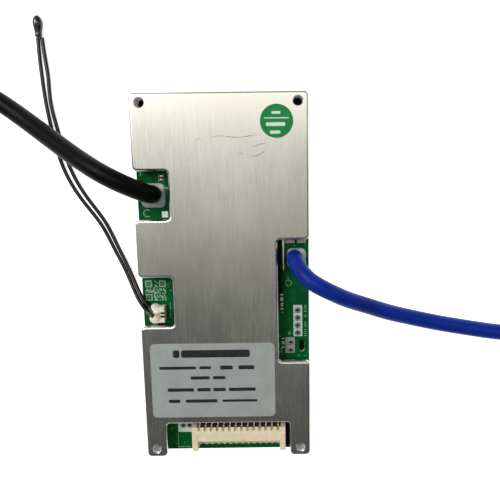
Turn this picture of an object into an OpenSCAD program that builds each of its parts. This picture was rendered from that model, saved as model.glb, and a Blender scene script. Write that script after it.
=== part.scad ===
// Battery management board: a green circuit board under a notched aluminium plate.
// Millimetres, +Z up. The feet stand on z = 0 and the origin is the middle of the board.
// The power stage lies between the board and the plate, and the leads and plugs meet
// the board in four notches in the plate's edges.

/* [Board] */
// Width of the board and the plate
board_w = 54; // [50:0.5:60]
// Length of the board and the plate
board_l = 117; // [112:0.5:124]
// Thickness of the circuit board
board_t = 1.6; // [1:0.1:2.4]
// Corner radius of the circuit board
board_r = 1; // [0.5:0.1:2]

/* [Plate] */
// Thickness of the aluminium plate
plate_t = 2; // [1.5:0.1:3]
// Clear height between the board and the plate
plate_gap = 3.3; // [3.3:0.1:5]
// Radius of the plate's corners, seen from above
plate_r = 1.5; // [0.8:0.1:2]
// Radius of the notches' inner corners
notch_r = 1.2; // [0.6:0.1:1.8]
// Depth of the two left notches
left_notch_d = 10.85; // [10:0.05:12]
// Depth of the right notch
right_notch_d = 10; // [9.5:0.1:11]
// Depth of the notch over the cell socket
front_notch_d = 11.6; // [11:0.1:12.5]
// Width of the ears on both sides of the notch over the cell socket
ear_w = 6.75; // [6.5:0.05:7.5]
// Distance from the front edge to the black lead's notch
black_notch_from = 78.8; // [76:0.1:80]
// Width of the black lead's notch
black_notch_w = 14.9; // [14:0.1:16]
// Distance from the front edge to the temperature sensor's notch
sensor_notch_from = 44.7; // [43:0.1:46]
// Width of the temperature sensor's notch
sensor_notch_w = 15.8; // [14:0.1:16.5]
// Distance from the front edge to the blue lead's notch
blue_notch_from = 32.6; // [31:0.1:34]
// Width of the blue lead's notch
blue_notch_w = 39.4; // [38:0.1:41]

/* [Fixings] */
// Distance from a long edge to the middle of the fixing holes
hole_inset_x = 3.25; // [3:0.05:4]
// Distance from a short edge to the middle of the fixing holes
hole_inset_y = 3; // [2.9:0.05:4]
// Diameter of the hole through each spacer
hole_d = 2.8; // [2.2:0.1:3.2]
// Outer diameter of each spacer
spacer_d = 4.6; // [4.2:0.1:5]
// Height of the foot that each spacer forms under the board
foot_h = 1.2; // [0.8:0.1:3]
// Diameter of the foot
foot_d = 5.4; // [5.2:0.1:5.8]

/* [Power stage] */
// Number of transistors in each of the two columns
fet_rows = 5; // [3:1:5]
// Distance between transistors in a column
fet_pitch = 7.4; // [7:0.1:8]
// Length of a transistor's body, across the board
fet_l = 6.6; // [6:0.1:7.2]
// Width of a transistor's body, along the board
fet_w = 6.1; // [5.5:0.1:6.6]
// Height of a transistor's body
fet_h = 2.3; // [1.8:0.1:2.5]
// Distance between the two columns' middles
fet_spread = 16; // [15.6:0.1:17]
// Width of a tinned bus bar
bar_w = 1.2; // [0.8:0.1:1.6]
// Height of a tinned bus bar
bar_h = 2.4; // [1.5:0.1:2.8]
// Width of a current shunt
shunt_w = 2.5; // [2:0.1:3]
// Height of a current shunt
shunt_h = 0.8; // [0.5:0.1:1.2]

/* [Cell socket] */
// Number of contacts
ways = 14; // [10:1:14]
// Distance between contacts
way_pitch = 2; // [2:0.05:2.1]
// Height of the socket's housing
socket_h = 4.8; // [4.4:0.1:5]
// Wall thickness of the housing
socket_wall = 0.8; // [0.6:0.1:1]
// Width of the cheek at each end of the housing
cheek_w = 1.9; // [1.4:0.05:2.2]
// Space between the outer contacts and the cheeks
cheek_gap = 0.55; // [0.4:0.05:0.8]
// Space between the socket and the ear on its right
socket_side_gap = 1.45; // [1:0.05:3]

/* [Leads] */
// Diameter of the black lead over its insulation
black_d = 5.7; // [5:0.1:6]
// Diameter of the blue lead over its insulation
blue_d = 5.1; // [4.6:0.1:5.2]
// Diameter of the bundle of tinned strands in the black lead
black_core_d = 3.8; // [3:0.1:4.2]
// Diameter of the bundle of tinned strands in the blue lead
blue_core_d = 3.2; // [2.6:0.1:3.6]
// Bare length at the free end of both leads
bare_end = 8; // [5:0.5:12]
// Side of the black lead's solder pad
black_pad = 8; // [7:0.1:9]
// Side of the blue lead's solder pad
blue_pad = 6.3; // [5.8:0.1:6.4]
// Diameter of each temperature sensor wire
sensor_wire_d = 1.2; // [0.8:0.1:1.25]

/* [Labels] */
// Width of the grey label, across the board
label_w = 40; // [30:0.5:42]
// Length of the grey label, along the board
label_l = 25; // [20:0.5:30]
// Corner radius of the grey label
label_r = 1.6; // [0.5:0.1:3]
// Diameter of the round green label
sticker_d = 10; // [8:0.5:12]
// Thickness of both labels
label_t = 0.12; // [0.05:0.01:0.3]

/* [Hidden] */
$fn = 48;

board_z = foot_h;
top_z = board_z + board_t;
plate_z = top_z + plate_gap;
plate_top = plate_z + plate_t;
left_x = -board_w / 2;
right_x = board_w / 2;
front_y = -board_l / 2;
back_y = board_l / 2;
film_t = 0.1;
pad_t = plate_gap - fet_h;
past = 1; // how far a cut runs beyond the piece that it cuts

// Notches: where each begins and ends along the board
function span(from, w) = [front_y + from, front_y + from + w];
black_notch = span(black_notch_from, black_notch_w);
sensor_notch = span(sensor_notch_from, sensor_notch_w);
blue_notch = span(blue_notch_from, blue_notch_w);
front_notch_w = board_w - 2 * ear_w;

// Fixing holes
hole_chamfer = 0.3;
spacer_step = 0.8;
neck_d = spacer_d - spacer_step;
function corners() = [for (x = [left_x + hole_inset_x, right_x - hole_inset_x],
                           y = [front_y + hole_inset_y, back_y - hole_inset_y]) [x, y]];

// Power stage, placed from the front edge and from the two lead notches
fet_y0 = front_y + 55.5;
fet_inset = 0.8;
fet_heel = 0.5;
fet_heel_h = 1.2;
fet_tab = 1.1;
fet_leg = 2.2;
fet_leg_w = 0.8;
fet_leg_pitch = 2.28;
fet_lift = 0.1;
fet_tab_t = 0.5;
bar_gap = 0.4;
fet_tab_in = 3;
pad_margin = 1;
black_bar_x = -(fet_spread / 2 + fet_l / 2 + fet_tab + bar_gap + bar_w / 2);
black_bar_y0 = fet_y0 - 6;
black_bar_y1 = fet_y0 + (fet_rows - 1) * fet_pitch + fet_w / 2;
blue_bar_x = right_x - 8.4;
blue_bar_y0 = blue_notch[1] - 10;
blue_bar_y1 = blue_notch[1] + 20.5;
shunt_l = 6.3;
shunt_y0 = blue_notch[1] - 1.2;
shunt_end = 1.1;
shunt_x = [right_x - 5.65, right_x - 1.9];

// Cell socket
socket_inner = (ways - 1) * way_pitch + 2 * cheek_gap;
socket_w = socket_inner + 2 * cheek_w;
socket_left = front_notch_w / 2 - socket_side_gap - socket_w;
socket_x = socket_left + socket_w / 2;
socket_back = front_y + 9.9;
socket_mouth = front_y + 5;
socket_tip = front_y + 1.7;
socket_lip = front_y + 2.2;
contact_w = 0.5;
contact_z = top_z + 2.2;
back_wall = 2;
contact_back = 1;
contact_in = 2.2;
contact_drill = 0.8;
tail_y = socket_back + contact_back;
tail_down = 0.7;
slot_w = 0.9;
slot_l = 1.3;
slot_h = 0.5;
cone_d = 1.5;
cone_top_d = 0.9;
cone_h = 0.6;

// Chips and small parts, placed from the socket's end of the board
chip_lift = 0.15;
monitor_size = [9.8, 4.4, 1.1];
monitor_at = [2, front_y + 33.5];
monitor_pins = 15;
monitor_pitch = 0.64;
controller_size = [7, 7, 1.4];
controller_at = [-6, front_y + 45.5];
controller_pins = 8;
controller_pitch = 0.8;
pin_w = 0.3;
pin_reach = 1;
pin_t = 0.15;
pin_bend = 0.3;
cells = ways - 1;
row_x0 = socket_x - (cells - 1) * way_pitch / 2;
cap_size = [0.8, 1.6, 0.8];
resistor_size = [1.6, 3.2, 0.6];
switch_size = [1.3, 1, 1];
switch_lift = 0.1;
switch_leg = [0.35, 0.55, 0.5];
switch_leg_x = 0.45;
cap_y = front_y + 14.9;
resistor_y = cap_y + 4;
switch_y = resistor_y + 5;
end_l = 0.35;
edge_size = [1, 1.5, 0.5];
edge_at = [
    [left_x + 7.85, black_notch[0] + 12.8], [right_x - 8.8, blue_notch[0] + 20.3],
    [right_x - 8.8, blue_notch[0] + 18.5], [right_x - 8.8, blue_notch[0] + 16.7],
    [right_x - 8.6, blue_notch[0] + 5.5], [right_x - 8.6, blue_notch[0] + 3.7]
];
marker_size = [2, 2, 0.9];
marker_at = [left_x + 8.6, black_notch[0] + 1.3];

// Leads: the pads, and the heights at which the insulation starts
black_pad_at = [left_x + 5, black_notch[0] + 7.3];
blue_pad_at = [right_x - 4, blue_notch[1] - 6.5];
black_at = black_pad_at + [0.3, 0.5];
blue_at = blue_pad_at + [-0.6, 0.6];
black_start = 1.4;
blue_start = 1.2;
solder_h = 1.1;
solder_inset = 0.3;
solder_taper = 0.62;

// Routes of the leads: points along the middle of each, from the board outwards
black_rise = [
    [-21.7, 28.1, 4.2], [-22.5, 28.5, 8.6], [-24.7, 29.8, 12.4], [-27.9, 31.6, 14.9], [-31.8, 33.7, 15.8],
    [-35.8, 35.9, 15], [-42.2, 39.7, 12.2], [-49.6, 44.5, 8.7],
    [-58.4, 50.5, 5.2], [-67.6, 56.8, 3.2], [-77, 63, 2.9]
];
blue_rise = [
    [22.4, 7.6, 4], [22.7, 6.8, 8.1], [23.9, 4.8, 11.6], [26.3, 2.3, 14], [29.7, 0.1, 14.9],
    [33.6, -2.1, 14.1], [38.7, -4.8, 11.9], [44.7, -7.4, 9],
    [51.8, -10.3, 6.3], [59.4, -12.7, 4.2], [67, -14.7, 3.1], [78.5, -17, 2.6], [90, -18.8, 2.6]
];
// The rest of each lead lies on the surface in part of a turn: middle, radius, angles, height
black_curl = concat(black_rise, curl([-99, 41], 31, 64, 252, 8, 2.9));
blue_curl = concat(blue_rise, curl([107, -49], 28, 82, -90, 7, 2.6));
// The sensor's two wires: points midway between them, and half the distance between them
sensor_run = [
    [-23.8, -10.6, 4.7], [-25.8, -8, 4.7], [-28.1, -4.5, 3.8], [-30.2, -0.2, 2.4], [-32.5, 4.8, 1.3],
    [-35, 10, 0.8], [-39, 18.6, 0.62], [-44.6, 26.8, 0.62], [-49.7, 37, 0.62],
    [-52.4, 48.3, 0.62], [-53.8, 57, 0.62], [-54.2, 65, 0.62], [-54.6, 71, 0.62], [-54.8, 76, 0.62]
];
sensor_half_gap = [0.64, 0.64, 0.64, 0.64, 0.64, 0.7, 0.8, 0.9, 1, 0.9, 0.75, 0.95, 0.8, 0.64];
sensor_left = beside(sensor_run, sensor_half_gap, 1);
sensor_right = beside(sensor_run, sensor_half_gap, -1);
lead_sides = 12;
wire_sides = 8;

// Sensor: socket on the board, glue over its side, and the bead at the wires' end
sensor_box = [3, 5.2, 3.2];
sensor_box_at = [left_x + 5.9, sensor_notch[0] + 3.3];
glue_y = [sensor_notch[0] + 4.5, sensor_notch[0] + 1.9];
glue_x = left_x + 4;
glue_d = 4.5;
glue_lift = 0.5;
sensor_pin_d = 0.5;
sensor_pin_pitch = 1.25;
sensor_pin_out = 0.6;
sensor_pin_down = 0.4;
bead_d = 3;
bead_l = 6.4;

// Open holes in the board for plug-in headers, and their rings
header4_x = right_x - 3.7;
header4_y = [for (i = [0 : 3]) blue_notch[1] - 23.9 - 2.54 * i];
header2_x = right_x - 6;
header2_y = [for (i = [0 : 1]) blue_notch[0] + 4.7 - 2.85 * i];
test_at = [[socket_left - 3.65, front_y + 8.5], [socket_left - 1.55, front_y + 8.5]];
ring_d = 1.75;
drill_d = 0.9;
slot_at = [right_x - 2.4, blue_notch[0] + 3.4];
slot_size = [1.8, 4.1];
vias = [[left_x + 8.65, front_y + 2.1], [left_x + 11.6, front_y + 2.2]];
via_d = 0.6;

// Labels: the grey one's middle from the left and front edges, the round one's from the other two
label_at = [left_x + 22.65, front_y + 26.5];
sticker_at = [right_x - 9.7, back_y - 8.9];

// ---- Shared shapes ----

function unit(v) = v / norm(v);
// The route of one wire of a pair: k is 1 on its left and -1 on its right
function beside(p, gap, k) = let (t = headings(p)) [
    for (i = [0 : len(p) - 1]) p[i] + k * gap[i] * unit([-t[i].y, t[i].x, 0])
];
function curl(at, r, a0, a1, steps, z) = [
    for (i = [0 : steps]) let (a = a0 + (a1 - a0) * i / steps) [at.x + r * cos(a), at.y + r * sin(a), z]
];
// Directions along a route, and sideways vectors that turn with it as little as possible
function headings(p) = [
    for (i = [0 : len(p) - 1]) unit(unit(p[min(i + 1, len(p) - 1)] - p[max(i - 1, 0)]))
];
function level(v, t) = unit(v - (v * t) * t);
function sideways(t) = [
    for (i = 0, n = level([0.3, 0.9, 0.2], t[0]); i < len(t);
         i = i + 1, n = i < len(t) ? level(n, t[i]) : n) n
];

// A round tube swept along a route
module tube_along(p, d, sides) {
    t = headings(p);
    n = sideways(t);
    ring = [for (i = [0 : len(p) - 1], k = [0 : sides - 1])
        let (a = 360 * k / sides) p[i] + d / 2 * (cos(a) * n[i] + sin(a) * cross(t[i], n[i]))];
    walls = [for (i = [0 : len(p) - 2], k = [0 : sides - 1])
        let (a = i * sides + k, b = i * sides + (k + 1) % sides)
        each [[a, b, b + sides], [a, b + sides, a + sides]]];
    first_cap = [for (k = [0 : sides - 1]) sides - 1 - k];
    last_cap = [for (k = [0 : sides - 1]) (len(p) - 1) * sides + k];
    polyhedron(ring, concat(walls, [first_cap, last_cap]), convexity = 6);
}

module block(at, size, z) {
    translate([at.x - size.x / 2, at.y - size.y / 2, z]) cube(size);
}

// A slot with round ends, longer along Y
module round_slot(at, size, z, h) {
    run = size.y - size.x;
    block(at, [size.x, run, h], z);
    for (k = [-1, 1]) drill([at.x, at.y + k * run / 2], size.x, z, h);
}

module drill(at, d, z, h) {
    translate([at.x, at.y, z]) cylinder(d = d, h = h);
}

// A flat rectangle between two corners with rounded corners of its own
module round_slab(a, b, r, h) {
    linear_extrude(h) polygon(rounded(a, b, r));
}
function rounded(a, b, r) = [
    for (c = [[b.x - r, b.y - r, 0], [a.x + r, b.y - r, 90], [a.x + r, a.y + r, 180], [b.x - r, a.y + r, 270]])
        for (i = [0 : 6]) [c.x + r * cos(c.z + 15 * i), c.y + r * sin(c.z + 15 * i)]
];

// One notch in the plate's left or right edge, its mouth rounded outwards
module side_notch(edge_x, depth, span) {
    side = sign(edge_x);
    mouth = plate_r;
    union() {
        translate([edge_x - side * depth / 2 + side * plate_r, (span[0] + span[1]) / 2])
            polygon(rounded([-depth / 2 - plate_r, -(span[1] - span[0]) / 2],
                            [depth / 2 + plate_r, (span[1] - span[0]) / 2], notch_r));
        for (y = span) mouth_fillet(edge_x, side, y, y == span[0] ? -1 : 1, mouth);
    }
}

// The sliver that a rounded outer corner takes off beside a notch
module mouth_fillet(edge_x, side, y, way, r) {
    difference() {
        translate([side > 0 ? edge_x - r : edge_x - 1, way > 0 ? y - 0.01 : y - r + 0.01])
            square([r + 1, r]);
        translate([edge_x - side * r, y + way * r]) circle(r);
    }
}

module plate_outline() {
    difference() {
        polygon(rounded([left_x, front_y], [right_x, back_y], plate_r));
        side_notch(left_x, left_notch_d, black_notch);
        side_notch(left_x, left_notch_d, sensor_notch);
        side_notch(right_x, right_notch_d, blue_notch);
        polygon(rounded([-front_notch_w / 2, front_y - 2 * notch_r],
                        [front_notch_w / 2, front_y + front_notch_d], notch_r));
        for (side = [-1, 1]) front_fillet(side);
    }
}

module front_fillet(side) {
    x = side * front_notch_w / 2;
    difference() {
        translate([side > 0 ? x - 0.01 : x - plate_r + 0.01, front_y - 1]) square([plate_r, plate_r + 1]);
        translate([x + side * plate_r, front_y + plate_r]) circle(plate_r);
    }
}

// ---- Plate, board and spacers ----

module plate() {
    color("silver") difference() {
        translate([0, 0, plate_z]) linear_extrude(plate_t) plate_outline();
        for (c = corners()) {
            drill(c, hole_d, plate_z - past, plate_t + 2 * past);
            translate([c.x, c.y, plate_top - hole_chamfer])
                cylinder(d1 = hole_d, d2 = hole_d + 2 * hole_chamfer, h = hole_chamfer + 0.001);
        }
    }
}

// Hollow spacers: a collar between board and plate, a neck through the board and a foot
module spacers() {
    color("gainsboro") for (c = corners()) translate([c.x, c.y, 0]) difference() {
        union() {
            cylinder(d = foot_d, h = foot_h);
            cylinder(d = neck_d, h = top_z);
            translate([0, 0, top_z]) cylinder(d = spacer_d, h = plate_gap);
        }
        translate([0, 0, -past]) cylinder(d = hole_d, h = plate_z + 2 * past);
    }
}

module board() {
    color([0.02, 0.36, 0.15]) difference() {
        translate([0, 0, board_z])
            round_slab([left_x, front_y], [right_x, back_y], board_r, board_t);
        for (c = corners()) drill(c, neck_d, board_z - past, board_t + 2 * past);
        for (y = header4_y) drill([header4_x, y], drill_d, board_z - past, board_t + 2 * past);
        for (y = header2_y) drill([header2_x, y], drill_d, board_z - past, board_t + 2 * past);
        for (v = test_at) drill(v, drill_d, board_z - past, board_t + 2 * past);
        for (v = vias) drill(v, via_d, board_z - past, board_t + 2 * past);
        for (i = [0 : ways - 1])
            drill([way_x(i), tail_y], contact_drill, board_z - past, board_t + 2 * past);
        for (k = [-1, 1]) drill(sensor_pin_at(k), contact_drill, board_z - past, board_t + 2 * past);
        round_slot(slot_at, slot_size, board_z - past, board_t + 2 * past);
    }
}

// ---- Power stage ----

function fet_y(i) = fet_y0 + i * fet_pitch;
module at_each_fet() {
    for (side = [-1, 1], i = [0 : fet_rows - 1])
        translate([side * fet_spread / 2, fet_y(i), top_z]) rotate(side > 0 ? 0 : 180) children();
}

module thermal_pad() {
    w = fet_spread + fet_l + pad_margin;
    l = (fet_rows - 1) * fet_pitch + fet_w + pad_margin;
    color("lightsteelblue")
        block([0, fet_y0 + (fet_rows - 1) * fet_pitch / 2], [w, l, pad_t], top_z + fet_h);
}

module transistor_bodies() {
    color([0.12, 0.12, 0.13]) at_each_fet() difference() {
        block([0, 0], [fet_l, fet_w, fet_h - fet_lift], fet_lift);
        translate([fet_l / 2 - fet_tab_in, -(fet_w - fet_inset) / 2, fet_lift - past])
            cube([fet_tab_in + past, fet_w - fet_inset, fet_tab_t + past]);
    }
}

module transistor_tabs() {
    color("gainsboro") at_each_fet()
        translate([fet_l / 2 - fet_tab_in, -(fet_w - fet_inset) / 2, fet_lift])
            cube([fet_tab_in + fet_tab, fet_w - fet_inset, fet_tab_t]);
}

module transistor_leads() {
    color("gainsboro") at_each_fet() for (k = [-1, 1]) {
        y = k * fet_leg_pitch;
        block([-fet_l / 2 - fet_leg / 2, y], [fet_leg, fet_leg_w, pin_t * 2], 0);
        block([-fet_l / 2 - fet_heel / 2, y], [fet_heel, fet_leg_w, fet_heel_h], pin_t * 2);
    }
}

// Upright bars that carry the current beside the two columns
module bus_bars() {
    color("lightgray") {
        block([black_bar_x, (black_bar_y0 + black_bar_y1) / 2],
              [bar_w, black_bar_y1 - black_bar_y0, bar_h], top_z);
        block([blue_bar_x, (blue_bar_y0 + blue_bar_y1) / 2],
              [bar_w, blue_bar_y1 - blue_bar_y0, bar_h], top_z);
    }
}

module shunts() {
    color("darkgray") for (x = shunt_x) {
        block([x, shunt_y0 + shunt_l / 2], [shunt_w, shunt_l, shunt_h * 0.5], top_z + shunt_h * 0.5);
        for (y = [shunt_y0 + shunt_end / 2, shunt_y0 + shunt_l - shunt_end / 2])
            block([x, y], [shunt_w, shunt_end, shunt_h * 0.5], top_z);
    }
}

// ---- Chips and small parts ----

module chip(at, size) {
    block(at, size - [0, 0, chip_lift], top_z + chip_lift);
}

// One row of bent pins along a chip's edge, pointing away from it
module pin_row(count, pitch, edge, h) {
    for (i = [0 : count - 1])
        translate([(i - (count - 1) / 2) * pitch + pin_w / 2, edge, 0]) rotate([90, 0, -90])
            mirror([1, 0, 0]) linear_extrude(pin_w) polygon([
                [0, h / 2], [0, h / 2 + pin_t], [pin_bend + pin_t, h / 2 + pin_t],
                [pin_bend + pin_t, pin_t], [pin_reach, pin_t], [pin_reach, 0],
                [pin_bend, 0], [pin_bend, h / 2]
            ]);
}

module monitor_chip() {
    color([0.1, 0.1, 0.1]) chip(monitor_at, monitor_size);
}

module monitor_leads() {
    color("silver") translate([monitor_at.x, monitor_at.y, top_z]) for (a = [0, 180]) rotate(a)
        pin_row(monitor_pins, monitor_pitch, monitor_size.y / 2, monitor_size.z);
}

module controller_chip() {
    color([0.1, 0.1, 0.1]) chip(controller_at, controller_size);
}

module controller_leads() {
    color("silver") translate([controller_at.x, controller_at.y, top_z]) for (a = [0 : 90 : 270]) rotate(a)
        pin_row(controller_pins, controller_pitch, controller_size.y / 2, controller_size.z);
}

function cell_x(i) = row_x0 + i * way_pitch;

// A small part's body between its two end caps, long side along Y
module body_between_ends(at, size) {
    block(at, [size.x, size.y - 2 * end_l, size.z], top_z);
}
module end_caps(at, size) {
    for (k = [-1, 1]) block([at.x, at.y + k * (size.y - end_l) / 2], [size.x, end_l, size.z], top_z);
}

module balance_resistors() {
    color([0.08, 0.08, 0.09]) for (i = [0 : cells - 1])
        body_between_ends([cell_x(i), resistor_y], resistor_size);
}
module balance_resistor_ends() {
    color("silver") for (i = [0 : cells - 1]) end_caps([cell_x(i), resistor_y], resistor_size);
}

module balance_switches() {
    color([0.1, 0.1, 0.1]) for (i = [0 : cells - 1])
        block([cell_x(i), switch_y], switch_size - [0, 0, switch_lift], top_z + switch_lift);
}
module balance_switch_leads() {
    out = (switch_size.y + switch_leg.y) / 2;
    color("silver") for (i = [0 : cells - 1]) {
        block([cell_x(i), switch_y + out], switch_leg, top_z);
        for (k = [-1, 1]) block([cell_x(i) + k * switch_leg_x, switch_y - out], switch_leg, top_z);
    }
}

module capacitors() {
    color([0.62, 0.5, 0.36]) for (i = [0 : cells - 1]) body_between_ends([cell_x(i), cap_y], cap_size);
}
module capacitor_ends() {
    color("silver") for (i = [0 : cells - 1]) end_caps([cell_x(i), cap_y], cap_size);
}

module edge_resistors() {
    color([0.1, 0.1, 0.11]) for (p = edge_at) body_between_ends(p, edge_size);
}
module edge_resistor_ends() {
    color("silver") for (p = edge_at) end_caps(p, edge_size);
}

// The small white lamp block in the black lead's notch
module marker_block() {
    color("white") block(marker_at, marker_size, top_z);
}

// ---- Cell socket: side entry, its mouth towards the front edge ----

function way_x(i) = socket_x + (i - (ways - 1) / 2) * way_pitch;

module socket_housing() {
    inner_x = socket_left + cheek_w;
    color([0.85, 0.79, 0.64]) difference() {
        translate([socket_left, socket_tip, top_z]) cube([socket_w, socket_back - socket_tip, socket_h]);
        translate([inner_x, socket_tip - past, top_z + socket_wall])
            cube([socket_inner, socket_back - back_wall - socket_tip + past, socket_h - 2 * socket_wall]);
        translate([inner_x, socket_tip - past, top_z + socket_wall])
            cube([socket_inner, socket_mouth - socket_tip + past, socket_h]);
        translate([inner_x, socket_tip - past, top_z - past])
            cube([socket_inner, socket_lip - socket_tip + past, socket_h]);
        for (i = [0 : ways - 1]) {
            translate([way_x(i) - slot_w / 2, socket_back - slot_l, top_z + socket_h - slot_h])
                cube([slot_w, slot_l + past, slot_h + past]);
            translate([way_x(i) - contact_w / 2, socket_mouth, contact_z - contact_w / 2])
                cube([contact_w, socket_back - socket_mouth + past, contact_w]);
        }
    }
}

// Square contacts: along the mouth, out of the back and down through the board
module socket_contacts() {
    z1 = contact_z + contact_w / 2;
    color("gold") for (i = [0 : ways - 1]) {
        translate([way_x(i) - contact_w / 2, socket_mouth - contact_in, contact_z - contact_w / 2])
            cube([contact_w, tail_y - socket_mouth + contact_in + contact_w / 2, contact_w]);
        translate([way_x(i) - contact_w / 2, tail_y - contact_w / 2, board_z - tail_down])
            cube([contact_w, contact_w, z1 - board_z + tail_down]);
    }
}

// A cone of solder round each contact on top of the board
module socket_solder() {
    color("lightgray") for (i = [0 : ways - 1]) difference() {
        translate([way_x(i), tail_y, top_z]) cylinder(d1 = cone_d, d2 = cone_top_d, h = cone_h);
        block([way_x(i), tail_y], [contact_w, contact_w, cone_h + 2 * past], top_z - past);
    }
}

// ---- Leads ----

module lead_pads() {
    color("lightgray") {
        block(black_pad_at, [black_pad, black_pad, film_t], top_z);
        block(blue_pad_at, [blue_pad, blue_pad, film_t], top_z);
    }
}

// A mound of solder with the strands standing in it
module solder_mound(at, size, core_at, core_d) {
    translate([0, 0, top_z + film_t]) difference() {
        intersection() {
            translate([at.x, at.y, 0]) cylinder(d1 = size, d2 = size * solder_taper, h = solder_h);
            block(at, [size - 2 * solder_inset, size - 2 * solder_inset, solder_h], 0);
        }
        drill(core_at, core_d, -past, solder_h + 2 * past);
    }
}

module black_solder() {
    color("silver") solder_mound(black_pad_at, black_pad, black_at, black_core_d);
}
module black_core() {
    color("gainsboro") drill(black_at, black_core_d, top_z + film_t, black_start - film_t);
}
module black_lead() {
    color([0.05, 0.05, 0.06]) tube_along(black_curl, black_d, lead_sides);
}
module black_lead_end() {
    color("gainsboro") core_end(black_curl, black_core_d);
}

module blue_solder() {
    color("silver") solder_mound(blue_pad_at, blue_pad, blue_at, blue_core_d);
}
module blue_core() {
    color("gainsboro") drill(blue_at, blue_core_d, top_z + film_t, blue_start - film_t);
}
module blue_lead() {
    color([0.02, 0.12, 0.62]) tube_along(blue_curl, blue_d, lead_sides);
}
module blue_lead_end() {
    color("gainsboro") core_end(blue_curl, blue_core_d);
}

// The tinned strands beyond the insulation, straight on from a route's last point
module core_end(p, d) {
    last = p[len(p) - 1];
    way = unit(last - p[len(p) - 2]);
    translate(last) rotate([0, 90, atan2(way.y, way.x)]) cylinder(d = d, h = bare_end);
}

// ---- Temperature sensor ----

function sensor_pin_at(k) = sensor_box_at + [sensor_pin_out, k * sensor_pin_pitch / 2];

module sensor_socket() {
    color([0.8, 0.76, 0.66]) difference() {
        block(sensor_box_at, sensor_box, top_z);
        for (k = [-1, 1])
            block(sensor_pin_at(k), [sensor_pin_d, sensor_pin_d, sensor_box.z + 2 * past], top_z - past);
    }
}

module sensor_pins() {
    h = tail_down + board_t + sensor_box.z - sensor_pin_down;
    color("gold") for (k = [-1, 1])
        block(sensor_pin_at(k), [sensor_pin_d, sensor_pin_d, h], board_z - tail_down);
}

// A blob of glue that holds the wires to the socket, which lie in a groove in it
module sensor_glue() {
    end = sensor_run[0];
    out = sensor_run[1] - end;
    groove = 2 * sensor_half_gap[0] + sensor_wire_d;
    color([0.9, 0.87, 0.76]) difference() {
        for (y = glue_y) translate([glue_x, y, top_z + glue_lift]) sphere(d = glue_d);
        block([glue_x, 0], [3 * glue_d, board_l, glue_d], top_z - glue_d);
        block(sensor_box_at, sensor_box, top_z);
        translate(end) rotate(atan2(out.y, out.x)) translate([0, -groove / 2, -sensor_wire_d / 2])
            cube([2 * glue_d, groove, glue_d]);
    }
}

module sensor_wire_left() {
    color([0.06, 0.06, 0.06]) tube_along(sensor_left, sensor_wire_d, wire_sides);
}
module sensor_wire_right() {
    color([0.06, 0.06, 0.06]) tube_along(sensor_right, sensor_wire_d, wire_sides);
}

// A drop of black resin over the thermistor, its tail round the two wires
module sensor_bead() {
    last = sensor_run[len(sensor_run) - 1];
    color([0.05, 0.05, 0.05]) translate([last.x, last.y, bead_d / 2]) rotate([-90, 0, 0])
        rotate_extrude($fn = 32) polygon([
            [0, 0], [0.4 * bead_d, 0], [bead_d * 0.46, bead_l * 0.3], [bead_d * 0.5, bead_l * 0.6],
            [bead_d * 0.45, bead_l * 0.8], [bead_d * 0.3, bead_l * 0.94], [0, bead_l]
        ]);
}

// ---- Rings, labels ----

module ring(at) {
    difference() {
        drill(at, ring_d, top_z, film_t);
        drill(at, drill_d, top_z - past, film_t + 2 * past);
    }
}
module header_pads() {
    color("lightgray") {
        for (y = header4_y) ring([header4_x, y]);
        for (y = header2_y) ring([header2_x, y]);
        for (v = test_at) ring(v);
    }
}

module label() {
    half = [label_w, label_l] / 2;
    color([0.66, 0.7, 0.69]) translate([0, 0, plate_top])
        round_slab(label_at - half, label_at + half, label_r, label_t);
}

module sticker() {
    color([0.05, 0.55, 0.25]) drill(sticker_at, sticker_d, plate_top, label_t);
}

plate();
spacers();
board();
thermal_pad();
transistor_bodies();
transistor_tabs();
transistor_leads();
bus_bars();
shunts();
monitor_chip();
monitor_leads();
controller_chip();
controller_leads();
balance_resistors();
balance_resistor_ends();
balance_switches();
balance_switch_leads();
capacitors();
capacitor_ends();
socket_housing();
socket_contacts();
socket_solder();
lead_pads();
black_solder();
black_core();
black_lead();
black_lead_end();
blue_solder();
blue_core();
blue_lead();
blue_lead_end();
sensor_socket();
sensor_pins();
sensor_glue();
sensor_wire_left();
sensor_wire_right();
sensor_bead();
header_pads();
marker_block();
edge_resistors();
edge_resistor_ends();
label();
sticker();
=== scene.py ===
import bpy
import bmesh
import math
import numpy as np
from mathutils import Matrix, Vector
from mathutils.geometry import tessellate_polygon


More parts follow.
